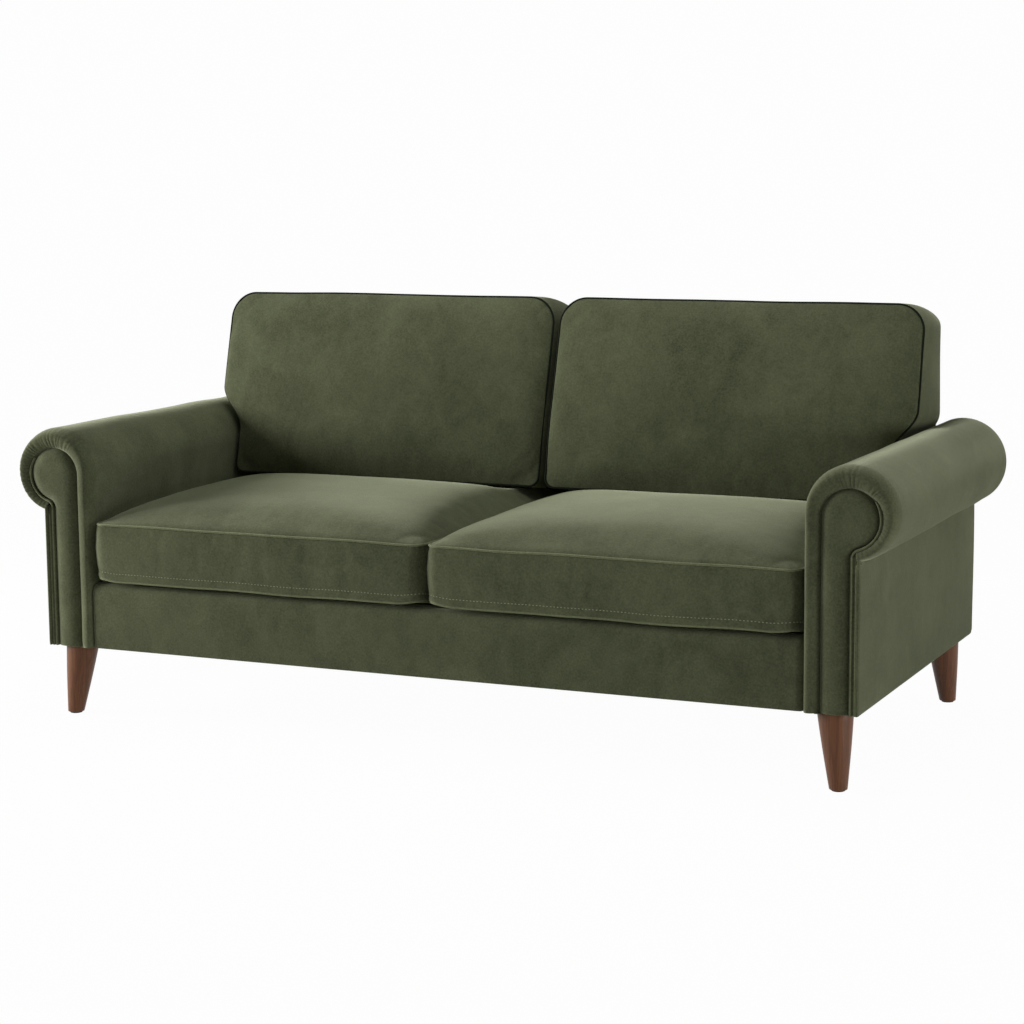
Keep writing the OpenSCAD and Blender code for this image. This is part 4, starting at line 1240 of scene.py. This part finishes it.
def welt_paths(sizes):
    """The two welts beside the right facing. The first follows the head and sinks into the crease
    at its end, and the second turns outwards under the scroll."""
    first_x = welts_low.x + WELT_R
    second_x = first_x + 2 * WELT_R + sizes.welt_gap
    neck_x = FACING_OUTER_X + NECK_R
    neck_z, neck_turn = neck(FACING_R, FACING_Z, FACING_OUTER_X, NECK_R)
    head_r = FACING_R + WELT_R + CLEAR
    neck_r = neck_x - first_x
    first = [Vector((first_x, WELT_Y, mix(HEM_Z, neck_z, i / 12))) for i in range(12)]
    for i in range(11):
        angle = math.pi - neck_turn * i / 10
        first.append(Vector((neck_x + neck_r * math.cos(angle), WELT_Y,
                             neck_z + neck_r * math.sin(angle))))
    head_end = math.radians(36)
    for i in range(1, 41):
        angle = mix(-neck_turn, head_end, i / 40)
        sink = 0.003 * smooth(0.75, 1.0, i / 40)
        first.append(Vector((SCROLL_X + head_r * math.cos(angle), WELT_Y + sink,
                             FACING_Z + head_r * math.sin(angle))))
    turn_r = 0.006
    top = panel_high.z - WELT_R - turn_r
    second = [Vector((second_x, WELT_Y, mix(HEM_Z, top, i / 12))) for i in range(13)]
    for i in range(1, 9):
        angle = math.pi / 2 * i / 8
        second.append(Vector((second_x + turn_r * (1 - math.cos(angle)), WELT_Y,
                              top + turn_r * math.sin(angle))))
    second.append(second[-1] + Vector((0.003, 0.002, 0.0012)))
    return first, second


class SOFA_OT_arm_covers(bpy.types.Operator):
    """Makes the padded covers of the arms, gathered round their scrolls"""
    bl_idname = "sofa.arm_covers"
    bl_label = "Arm covers"

    def execute(self, context):
        sizes = settings("arms")

        def keep(spot):
            """The cover stays flat where a cushion slides past it and where it is sewn."""
            past_cushions = smooth(0.0, 0.02, abs(spot.x) - pad_low.x)
            return past_cushions * smooth(0.0, 0.02, spot.z - HEM_Z)

        for name, side in SIDES.items():
            bm = reverse_if_left(arm_cover(sizes), side)
            soften(bm, 0.14, settings("panels").wander * 1.5, keep)
            piece = new_piece(f"arm_cover_{name}", bm, "velvet", "sofa_frame",
                              [f"arm_pad_{name}"])
            thick = piece.modifiers.new("Cover", "SOLIDIFY")
            thick.thickness = sizes.cover
            thick.offset = -1
        return {"FINISHED"}


class SOFA_OT_arm_facings(bpy.types.Operator):
    """Makes the keyhole facings of the arms and the welts beside them"""
    bl_idname = "sofa.arm_facings"
    bl_label = "Arm facings"

    def execute(self, context):
        sizes = settings("arms")
        for name, side in SIDES.items():
            bm = reverse_if_left(facing_cover(sizes), side)
            new_piece(f"arm_front_facing_{name}", bm, "velvet", "sofa_frame",
                      [f"arm_facing_{name}"])
            parts = [(path, WELT_R, False) for path in welt_paths(sizes)]
            # The welts take the lighter copy of the velvet, a painted highlight
            new_piece(f"arm_front_welts_{name}", reverse_if_left(tubes(parts), side), "velvet_welt",
                      "sofa_frame", [f"arm_welts_{name}"])
        return {"FINISHED"}


# Panels

def panel_block(low, high, cells, radii, bulge, faces, edges):
    """A padded panel: a block of cells with round edges, whose faces stand out in the middle.
    faces names the signed axes that bulge, and edges those whose edges are rounded."""
    bm = grid_block(cells)
    inner_low = Vector(low[i] + (radii[i] if -(i + 1) in edges else 0) for i in range(3))
    inner_high = Vector(high[i] - (radii[i] if i + 1 in edges else 0) for i in range(3))
    for vert in bm.verts:
        at = vert.co.copy()
        spot = Vector(mix(low[i], high[i], (at[i] + 1) / 2) for i in range(3))
        spot = rounded(spot, inner_low, inner_high, radii)
        for axis in faces:
            i = abs(axis) - 1
            side = math.copysign(1, axis)
            if at[i] * side > ON_EDGE:
                others = [at[k] for k in range(3) if k != i]
                swell = (1 - abs(others[0]) ** 6) * (1 - abs(others[1]) ** 6)
                spot[i] += side * bulge * swell
        vert.co = spot
    bmesh.ops.recalc_face_normals(bm, faces=bm.faces)
    return bm


def outside_panel(sizes):
    """The flat panel outside the right arm. Its top rises at the front to meet the scroll, and
    strips close the gap behind the welts and under the facing's neck."""
    thick, corner, rise = 0.0055, 0.014, 0.012
    low = Vector((STEM_X - thick, FRONT_Y, HEM_Z))
    high = Vector((STEM_X, BACK_Y, panel_high.z + 0.002))
    bm = panel_block(low, high, (4, 110, 36), (0.0026,) * 3, sizes.bulge, (1,), (1, -1, -2, 2, -3))
    for vert in bm.verts:
        over = vert.co.y - (high.y - corner), (low.z + corner) - vert.co.z
        if over[0] > 0 and over[1] > 0:
            out = Vector(over).normalized() * max(over)
            vert.co.y, vert.co.z = high.y - corner + out.x, low.z + corner - out.y
    for vert in bm.verts:
        if vert.co.z > high.z - 0.004:
            vert.co.z += rise * (1 - smooth(FRONT_Y + 0.004, FRONT_Y + 0.035, vert.co.y))
    inner_x, outer_x = FACING_OUTER_X - 0.002, STEM_X - 0.004
    join(bm, panel_block(Vector((inner_x, WELT_Y - 0.0010, HEM_Z)),
                         Vector((outer_x, CREASE_Y, high.z + rise)), (3, 2, 30),
                         (0.0015,) * 3, 0.0, (), (-1, 1, -2, -3)))
    join(bm, panel_block(Vector((inner_x, CREASE_Y - 0.003, high.z - 0.03)),
                         Vector((outer_x, CREASE_Y, high.z + 0.03)), (2, 1, 2),
                         (0.001,) * 3, 0.0, (), ()))
    return bm


def rear_panel(sizes):
    """The keyhole panel behind the right arm, with round edges."""
    bm = bmesh.new()
    edge, outer_x = sizes.edge, STEM_X - 0.0075
    face = keyhole(bm, rear_panel_high.z - SCROLL_Z, SCROLL_Z, rear_panel_low.x, outer_x, 0.0, 0.0)
    steps = [(edge * (1 - math.cos(a)), edge * math.sin(a))
             for a in (math.pi / 2 * i / 5 for i in range(1, 6))]
    pillow(bm, face, [(0.0001, 0.0005)] + steps + [(0.02, edge + 0.001)], 0.003)
    for vert in bm.verts:
        vert.co.y = rear_panel_low.y - vert.co.y
    bmesh.ops.reverse_faces(bm, faces=bm.faces)
    return bm


class SOFA_OT_arm_panels(bpy.types.Operator):
    """Makes the outside panels of the arms and the panels behind them"""
    bl_idname = "sofa.arm_panels"
    bl_label = "Arm panels"

    def execute(self, context):
        sizes = settings("panels")
        for name, side in SIDES.items():
            bm = reverse_if_left(outside_panel(sizes), side)
            soften(bm, 0.2, sizes.wander, lambda spot: smooth(0.0, 0.03, spot.y - FRONT_Y)
                   * smooth(0.0, 0.03, spot.z - HEM_Z) * smooth(0.0, 0.03, panel_high.z - spot.z))
            new_piece(f"arm_outside_panel_{name}", bm, "velvet", "sofa_frame",
                      [f"arm_side_panel_{name}"])
            bm = reverse_if_left(rear_panel(sizes), side)
            new_piece(f"arm_back_panel_{name}", bm, "velvet", "sofa_frame",
                      [f"arm_rear_panel_{name}"])
        return {"FINISHED"}


class SOFA_OT_front_rail(bpy.types.Operator):
    """Makes the padded cover of the front rail"""
    bl_idname = "sofa.front_rail"
    bl_label = "Front rail"

    def execute(self, context):
        sizes = settings("panels")
        low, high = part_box("front_rail_cover")
        low.x, high.x = -pad_low.x - sizes.rail_end, pad_low.x + sizes.rail_end
        high.z += sizes.rail_lip
        radii = (sizes.rail_end, sizes.rail_round - 0.004, sizes.rail_round)
        bm = panel_block(low, high, (190, 8, 22), radii, sizes.rail_bulge, (-2,), (1, -1, -2, 3))
        soften(bm, 0.17, sizes.wander * 1.4, lambda spot: smooth(0.0, 0.03, spot.z - low.z)
               * smooth(0.0, 0.05, high.x - abs(spot.x)) * smooth(0.0, 0.02, high.z - spot.z))
        piece = new_piece("front_rail_padding", bm, "velvet", "sofa_frame", ["front_rail_cover"])
        subdivided(piece)
        return {"FINISHED"}


class SOFA_OT_back_covers(bpy.types.Operator):
    """Makes the padded inside back and the outside back"""
    bl_idname = "sofa.back_covers"
    bl_label = "Back covers"

    def execute(self, context):
        sizes = settings("panels")
        low, high = inside_back_low, inside_back_high
        bm = panel_block(low, high, (150, 8, 60), (0.012,) * 3, 0.0, (), (1, -1, 2, -2, 3))
        for vert in bm.verts:
            above_arm = smooth(SCROLL_Z + 0.02, pad_high.z - 0.02, vert.co.z)
            vert.co.x *= 1 + above_arm * sizes.back_end / high.x
        # The pad has no faces behind the outside back and underneath, where nothing shows
        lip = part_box("outside_back_panel")[1].z - 0.006
        hidden = [f for f in bm.faces if f.calc_center_median().y > high.y - 1e-4
                  and f.calc_center_median().z < lip]
        hidden += [f for f in bm.faces if f.calc_center_median().z < low.z + 1e-4]
        bmesh.ops.delete(bm, geom=hidden, context="FACES")
        piece = new_piece("inside_back_padding", bm, "velvet", "sofa_frame", ["inside_back_pad"])
        thick = piece.modifiers.new("Padding", "SOLIDIFY")
        thick.thickness = 0.010
        thick.offset = -1
        low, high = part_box("outside_back_panel")
        bm = panel_block(low, high, (160, 2, 64), (sizes.edge,) * 3, 0.0015, (2,), (1, -1, 2, -3, 3))
        soften(bm, 0.22, sizes.wander * 0.8, lambda spot: smooth(0.0, 0.04, spot.z - low.z)
               * smooth(0.0, 0.04, high.z - spot.z) * smooth(0.0, 0.04, high.x - abs(spot.x)))
        new_piece("outside_back_cover", bm, "velvet", "sofa_frame", ["outside_back_panel"])
        return {"FINISHED"}


# Deck and underside

WEBBING_W, WEBBING_T = 0.060, 0.0016
# How far a strap rises over one that it crosses, and within what distance
WEAVE_RISE, WEAVE_RUN = 0.0011, 0.05


def deck_height(y):
    """Height of the deck's top, which falls towards the rear."""
    return deck_high.z - (y - deck_low.y) * DECK_SLOPE


def deck_thickness():
    """Thickness of the deck, which is the same all over."""
    return deck_high.z - deck_low.z - (deck_high.y - deck_low.y) * DECK_SLOPE


def strap(bm, place, run, over, steps):
    """One webbing strap: place turns how far along, across and above into a point, and over says
    how far above its middle layer the strap lies at a distance along it."""
    made = bmesh.ops.create_grid(bm, x_segments=steps, y_segments=4, size=1)["verts"]
    for vert in made:
        at = (vert.co.x + 1) / 2
        vert.co = place(at * run, vert.co.y * WEBBING_W / 2, over(at * run))
    faces = list({f for v in made for f in v.link_faces})
    bmesh.ops.solidify(bm, geom=faces, thickness=WEBBING_T)


def woven(crossed, start, number):
    """The over of a strap that starts at a place and passes over and under the straps that it
    crosses. Straps with odd and even numbers begin the other way round."""
    def over(along):
        bends = [groove(start + along, middle, WEAVE_RUN) * (1 if (i + number) % 2 else -1)
                 for i, middle in enumerate(crossed)]
        return WEAVE_RISE * sum(bends)
    return over


class SOFA_OT_deck(bpy.types.Operator):
    """Makes the padded deck under the seat cushions and the webbing that carries it"""
    bl_idname = "sofa.deck"
    bl_label = "Deck and webbing"

    def execute(self, context):
        radius, seam_depth, front_strip = 0.006, 0.0028, 0.09
        low = Vector((deck_low.x, deck_low.y, -deck_thickness()))
        high = Vector((deck_high.x, deck_high.y, 0.0))
        bm = panel_block(low, high, (150, 74, 4), (radius,) * 3, 0.0, (), (1, -1, 2, -2, 3))
        for vert in bm.verts:
            spot = vert.co
            sewn = groove(spot.y, deck_low.y + front_strip, 0.003) if spot.z > -0.003 else 0.0
            spot.z += deck_height(spot.y) - seam_depth * sewn
            if spot.z > deck_height(spot.y) - 0.003:
                spot.z -= 0.0015 * (0.5 + noise.noise(spot / 0.12))
        new_piece("deck_padding", bm, "lining", "sofa_frame", ["deck_pad"])
        self.seat_webbing()
        self.back_webbing()
        return {"FINISHED"}

    @staticmethod
    def seat_webbing():
        low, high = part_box("seat_webbing")
        under_deck = deck_thickness() + CLEAR
        half_layer = 0.002
        outermost = 0.727
        straps = [mix(-outermost, outermost, i / 11) for i in range(12)]
        first, last = low.y + 0.014 + WEBBING_W, high.y - 0.028 - 2 * WEBBING_W
        crossings = [mix(first, last, i / 4) + WEBBING_W / 2 for i in range(5)]
        bm = bmesh.new()
        for number, x in enumerate(straps):
            def lengthwise(along, across, over, x=x):
                y = low.y + along
                return Vector((x + across, y, deck_height(y) - under_deck - half_layer + over))
            strap(bm, lengthwise, high.y - low.y, woven(crossings, low.y, number), 160)
        for number, y in enumerate(crossings):
            def crosswise(along, across, over, y=y):
                there = y + across
                z = deck_height(there) - under_deck - half_layer + over
                return Vector((low.x + along, there, z))
            strap(bm, crosswise, high.x - low.x, woven(straps, low.x, number + 1), 240)
        bmesh.ops.recalc_face_normals(bm, faces=bm.faces)
        new_piece("seat_webbing_straps", bm, "webbing", "sofa_frame", ["seat_webbing"])

    @staticmethod
    def back_webbing():
        low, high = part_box("back_webbing")
        middle = (low.y + high.y) / 2
        levels = [mix(low.z, high.z - WEBBING_W, i / 3) + WEBBING_W / 2 for i in range(4)]
        columns = [mix(-1, 1, i / 8) * (high.x - 2 * WEBBING_W) for i in range(9)]
        bm = bmesh.new()
        for number, z in enumerate(levels):
            def across_back(along, across, over, z=z):
                return Vector((low.x + along, middle + over, z + across))
            strap(bm, across_back, high.x - low.x, woven(columns, low.x, number), 240)
        for number, x in enumerate(columns):
            def up_back(along, across, over, x=x):
                return Vector((x + across, middle + over, low.z + along))
            strap(bm, up_back, high.z - low.z, woven(levels, low.z, number + 1), 90)
        bmesh.ops.recalc_face_normals(bm, faces=bm.faces)
        new_piece("back_webbing_straps", bm, "webbing", "sofa_frame", ["back_webbing"])


class SOFA_OT_dust_cover(bpy.types.Operator):
    """Makes the thin cloth under the frame"""
    bl_idname = "sofa.dust_cover"
    bl_label = "Dust cover"

    def execute(self, context):
        low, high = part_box("dust_cover")
        bm = bmesh.new()
        bmesh.ops.create_grid(bm, x_segments=150, y_segments=70, size=1)
        for vert in bm.verts:
            x, y = mix(low.x, high.x, (vert.co.x + 1) / 2), mix(low.y, high.y, (vert.co.y + 1) / 2)
            slack = (1 - vert.co.x ** 8) * (1 - vert.co.y ** 4)
            ripple = 0.0006 * noise.noise(Vector((x, y, 0)) / 0.07)
            vert.co = (x, y, low.z + 0.0008 + slack * ripple)
        notch = [f for f in bm.faces if self.over_plate(f.calc_center_median())]
        bmesh.ops.delete(bm, geom=notch, context="FACES")
        area = sum(f.calc_area() for f in bm.faces)
        bmesh.ops.solidify(bm, geom=bm.faces[:], thickness=0.0004)
        bmesh.ops.recalc_face_normals(bm, faces=bm.faces)
        piece = new_piece("underside_cloth", bm, "lining", "sofa_frame", ["dust_cover"])
        return {"FINISHED"}

    @staticmethod
    def over_plate(spot):
        """Says whether a place lies over one of the plates that carry the legs."""
        low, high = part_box("leg_plates")
        plate = 0.060
        if abs(spot.x) < high.x - plate:
            return False
        return spot.y < low.y + plate or spot.y > high.y - plate


# Legs and frame

class SOFA_OT_legs(bpy.types.Operator):
    """Makes the turned, tapered and splayed legs and the glides under them"""
    bl_idname = "sofa.legs"
    bl_label = "Legs"

    def execute(self, context):
        sizes = settings("legs")
        glide_low, glide_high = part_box("foot_glides")
        feet = {"front": glide_low.y + sizes.glide_r, "rear": glide_high.y - sizes.glide_r}
        foot_x = glide_high.x - sizes.glide_r
        glides = bmesh.new()
        for name, side in SIDES.items():
            for end, foot_y in feet.items():
                low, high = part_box(f"leg_{end}_right")
                top_r = (high.x - low.x) / 2
                top = Vector((low.x + top_r, (low.y + high.y) / 2, high.z))
                foot = Vector((foot_x, foot_y, low.z))
                bm = self.turned(top, top_r, foot, sizes)
                new_piece(f"walnut_leg_{end}_{name}", reverse_if_left(bm, side), "walnut",
                          "sofa_frame", [f"leg_{end}_{name}"])
                disc = Matrix.Translation((foot_x * side, foot_y, glide_high.z / 2))
                bmesh.ops.create_cone(glides, segments=32, radius1=sizes.glide_r, radius2=sizes.glide_r,
                                      depth=glide_high.z, cap_ends=True, matrix=disc)
        rims = [e for e in glides.edges if len({round(v.co.z, 5) for v in e.verts}) == 1
                and min(v.co.z for v in e.verts) < 1e-5 and len(e.link_faces) == 2]
        bmesh.ops.bevel(glides, geom=rims, offset=0.0008, affect="EDGES", segments=2, profile=0.5,
                        material=-1)
        new_piece("felt_glides", glides, "glide", "sofa_frame", ["foot_glides"])
        return {"FINISHED"}

    @staticmethod
    def turned(top, top_r, foot, sizes):
        """A leg turned to a taper, with eased edges, that leans from its top to its foot."""
        bm = bmesh.new()
        height = top.z - foot.z
        bmesh.ops.create_cone(bm, segments=64, radius1=sizes.foot_r, radius2=top_r, depth=height,
                              cap_ends=True)
        uprights = [e for e in bm.edges if abs(e.verts[0].co.z - e.verts[1].co.z) > height / 2]
        bmesh.ops.subdivide_edges(bm, edges=uprights, cuts=9)
        rims = [e for e in bm.edges if all(abs(abs(v.co.z) - height / 2) < 1e-6 for v in e.verts)]
        bmesh.ops.bevel(bm, geom=rims, offset=sizes.edge, affect="EDGES", segments=3, profile=0.5,
                        material=-1)
        for vert in bm.verts:
            at = vert.co.z / height + 0.5
            lean = foot.lerp(top, at)
            belly = 1 + sizes.belly * math.sin(math.pi * at)
            vert.co = Vector((lean.x + vert.co.x * belly, lean.y + vert.co.y * belly, lean.z))
        return bm


class SOFA_OT_frame_parts(bpy.types.Operator):
    """Finishes the rails, posts, boards and leg fixings that stay as they are"""
    bl_idname = "sofa.frame_parts"
    bl_label = "Frame and fixings"

    def execute(self, context):
        finishes = {
            "timber": ["front_rail", "back_rail", "seat_back_rail", "back_top_rail"],
            "timber_along": ["end_rail_left", "end_rail_right", "centre_rail", "arm_top_rail_left",
                             "arm_top_rail_right", "arm_tack_rail_left", "arm_tack_rail_right"],
            "timber_upright": ["back_post_left", "back_post_centre", "back_post_right", "leg_blocks"],
            "plywood": [f"arm_{kind}_{side}" for kind in ("front_board", "rear_board", "liner")
                        for side in SIDES],
            "steel": ["leg_plates", "hanger_bolts", "tee_nuts"],
        }
        for finish, nodes in finishes.items():
            for node in nodes:
                part = frame["nodes"][node]
                part.data.materials.clear()
                part.data.materials.append(material(finish))
        return {"FINISHED"}


# Stage

# The floor fades into the background between these distances from the middle
FLOOR_FADES, FLOOR_ENDS = 1.6, 4.5


def rays_that_see(tree):
    """Is 1 for the rays that show a background: from the camera, a mirror or through glass."""
    rays = add(tree, "ShaderNodeLightPath")
    seen = maths(tree, "MAXIMUM", rays.outputs["Is Camera Ray"], rays.outputs["Is Glossy Ray"])
    return maths(tree, "MAXIMUM", seen, rays.outputs["Is Transmission Ray"])


class SOFA_OT_stage(bpy.types.Operator):
    """Sets the camera, the floor, the background and the lamps"""
    bl_idname = "sofa.stage"
    bl_label = "Stage"

    def execute(self, context):
        scene = context.scene
        scene.view_settings.view_transform = "Standard"
        values = settings("stage")
        self.camera(scene, values)
        self.floor()
        self.world(scene, values)
        self.lamp("Key lamp", values.key, size=1.8, spot=(-4.9, -1.8, 1.75))
        self.lamp("Side lamp", values.side, size=1.0, spot=(4.0, -0.9, 0.6))
        self.lamp("Top lamp", values.top, size=2.2, spot=(0.0, 0.5, 3.4))
        return {"FINISHED"}

    @staticmethod
    def camera(scene, values):
        """The camera, turned round its target from the front of the sofa."""
        turn, rise, roll = values.azimuth, values.elevation, values.roll
        back = Vector((math.sin(turn) * math.cos(rise), -math.cos(turn) * math.cos(rise),
                       math.sin(rise)))
        level = Vector((math.cos(turn), math.sin(turn), 0))
        upward = back.cross(level)
        right = level * math.cos(roll) + upward * math.sin(roll)
        up = upward * math.cos(roll) - level * math.sin(roll)
        data = bpy.data.cameras.new("Camera")
        data.lens = values.lens
        data.sensor_width = 36
        holder = bpy.data.objects.new("Camera", data)
        scene.collection.objects.link(holder)
        spot = Vector(values.target) + back * values.distance
        axes = Matrix((right, up, back)).transposed().to_4x4()
        holder.matrix_world = Matrix.Translation(spot) @ axes
        scene.camera = holder

    @staticmethod
    def floor():
        """A matt floor that keeps the shadows and shows white. It is clear far out and from below."""
        bm = bmesh.new()
        bmesh.ops.create_grid(bm, x_segments=1, y_segments=1, size=12)
        mesh = bpy.data.meshes.new("Floor")
        bm.to_mesh(mesh)
        bm.free()
        holder = bpy.data.objects.new("Floor", mesh)
        bpy.context.scene.collection.objects.link(holder)
        made = bpy.data.materials.new("Floor")
        made.use_nodes = True
        tree = made.node_tree
        tree.nodes.clear()
        seen = rays_that_see(tree)
        coords = add(tree, "ShaderNodeTexCoord").outputs["Object"]
        away = add(tree, "ShaderNodeVectorMath", {0: coords}, operation="LENGTH").outputs["Value"]
        far = add(tree, "ShaderNodeMapRange", {0: away, 1: FLOOR_FADES, 2: FLOOR_ENDS, 3: 0.0, 4: 1.0},
                  interpolation_type="SMOOTHSTEP").outputs[0]
        below = add(tree, "ShaderNodeNewGeometry").outputs["Backfacing"]
        open_air = maths(tree, "MULTIPLY", seen, maths(tree, "MAXIMUM", far, below))
        matt = add(tree, "ShaderNodeBsdfDiffuse", {"Color": (0.80, 0.80, 0.79, 1)})
        white = add(tree, "ShaderNodeEmission", {"Color": (1, 1, 1, 1), "Strength": 1.0})
        # The rest of the floor's look is its own shade, which keeps the sofa's shadows
        whiteness = maths(tree, "MULTIPLY", seen, 0.975)
        shown = add(tree, "ShaderNodeMixShader", {0: whiteness, 1: matt.outputs[0],
                                                  2: white.outputs[0]})
        clear = add(tree, "ShaderNodeBsdfTransparent")
        ended = add(tree, "ShaderNodeMixShader", {0: open_air, 1: shown.outputs[0],
                                                  2: clear.outputs[0]})
        add(tree, "ShaderNodeOutputMaterial", {"Surface": ended.outputs[0]})
        mesh.materials.append(made)

    @staticmethod
    def world(scene, values):
        """A little light from all round, and a white background."""
        made = bpy.data.worlds.new("Studio")
        scene.world = made
        made.use_nodes = True
        tree = made.node_tree
        tree.nodes.clear()
        seen = rays_that_see(tree)
        around = add(tree, "ShaderNodeBackground", {"Color": (0.97, 0.98, 1.0, 1),
                                                    "Strength": values.world})
        white = add(tree, "ShaderNodeBackground", {"Color": (0.985, 0.985, 0.985, 1), "Strength": 1.0})
        shown = add(tree, "ShaderNodeMixShader", {0: seen, 1: around.outputs[0], 2: white.outputs[0]})
        add(tree, "ShaderNodeOutputWorld", {"Surface": shown.outputs[0]})

    @staticmethod
    def lamp(name, power, size, spot):
        """A square lamp aimed at the sofa."""
        data = bpy.data.lights.new(name, "AREA")
        data.energy = power
        data.shape = "SQUARE"
        data.size = size
        holder = bpy.data.objects.new(name, data)
        bpy.context.scene.collection.objects.link(holder)
        holder.location = spot
        sofa_middle = Vector((0, 0, 0.4))
        aim = sofa_middle - Vector(spot)
        holder.rotation_euler = aim.to_track_quat("-Z", "Y").to_euler()


class SOFA_PT_sofa(bpy.types.Panel):
    """Lists the steps that make the sofa"""
    bl_label = "Scroll arm sofa"
    bl_space_type = "VIEW_3D"
    bl_region_type = "UI"
    bl_category = "Sofa"

    def draw(self, context):
        for operator in OPERATORS:
            self.layout.operator(operator.bl_idname)
        for name, group in PROPERTIES.items():
            box = self.layout.box()
            for prop in group.__annotations__:
                box.prop(settings(name), prop)


OPERATORS = [SOFA_OT_stage, SOFA_OT_seat_cushions, SOFA_OT_back_cushions, SOFA_OT_cushion_cores,
             SOFA_OT_arm_covers, SOFA_OT_arm_facings, SOFA_OT_arm_panels, SOFA_OT_front_rail,
             SOFA_OT_back_covers, SOFA_OT_deck, SOFA_OT_dust_cover, SOFA_OT_legs, SOFA_OT_frame_parts]
PROPERTIES = {"colours": SofaColours, "cushions": SofaCushionSizes, "arms": SofaArmSizes,
              "panels": SofaPanelSizes, "legs": SofaLegSizes, "stage": SofaStageSettings}


def register():
    for kind in [*PROPERTIES.values(), *OPERATORS, SOFA_PT_sofa]:
        bpy.utils.register_class(kind)
    for name, group in PROPERTIES.items():
        setattr(bpy.types.Scene, "sofa_" + name, PointerProperty(type=group))


def unregister():
    for name in PROPERTIES:
        delattr(bpy.types.Scene, "sofa_" + name)
    for kind in [SOFA_PT_sofa, *reversed(OPERATORS), *PROPERTIES.values()]:
        bpy.utils.unregister_class(kind)


def main():
    register()
    for operator in OPERATORS:
        group, step = operator.bl_idname.split(".")
        getattr(getattr(bpy.ops, group), step)()


if __name__ == "__main__":
    main()
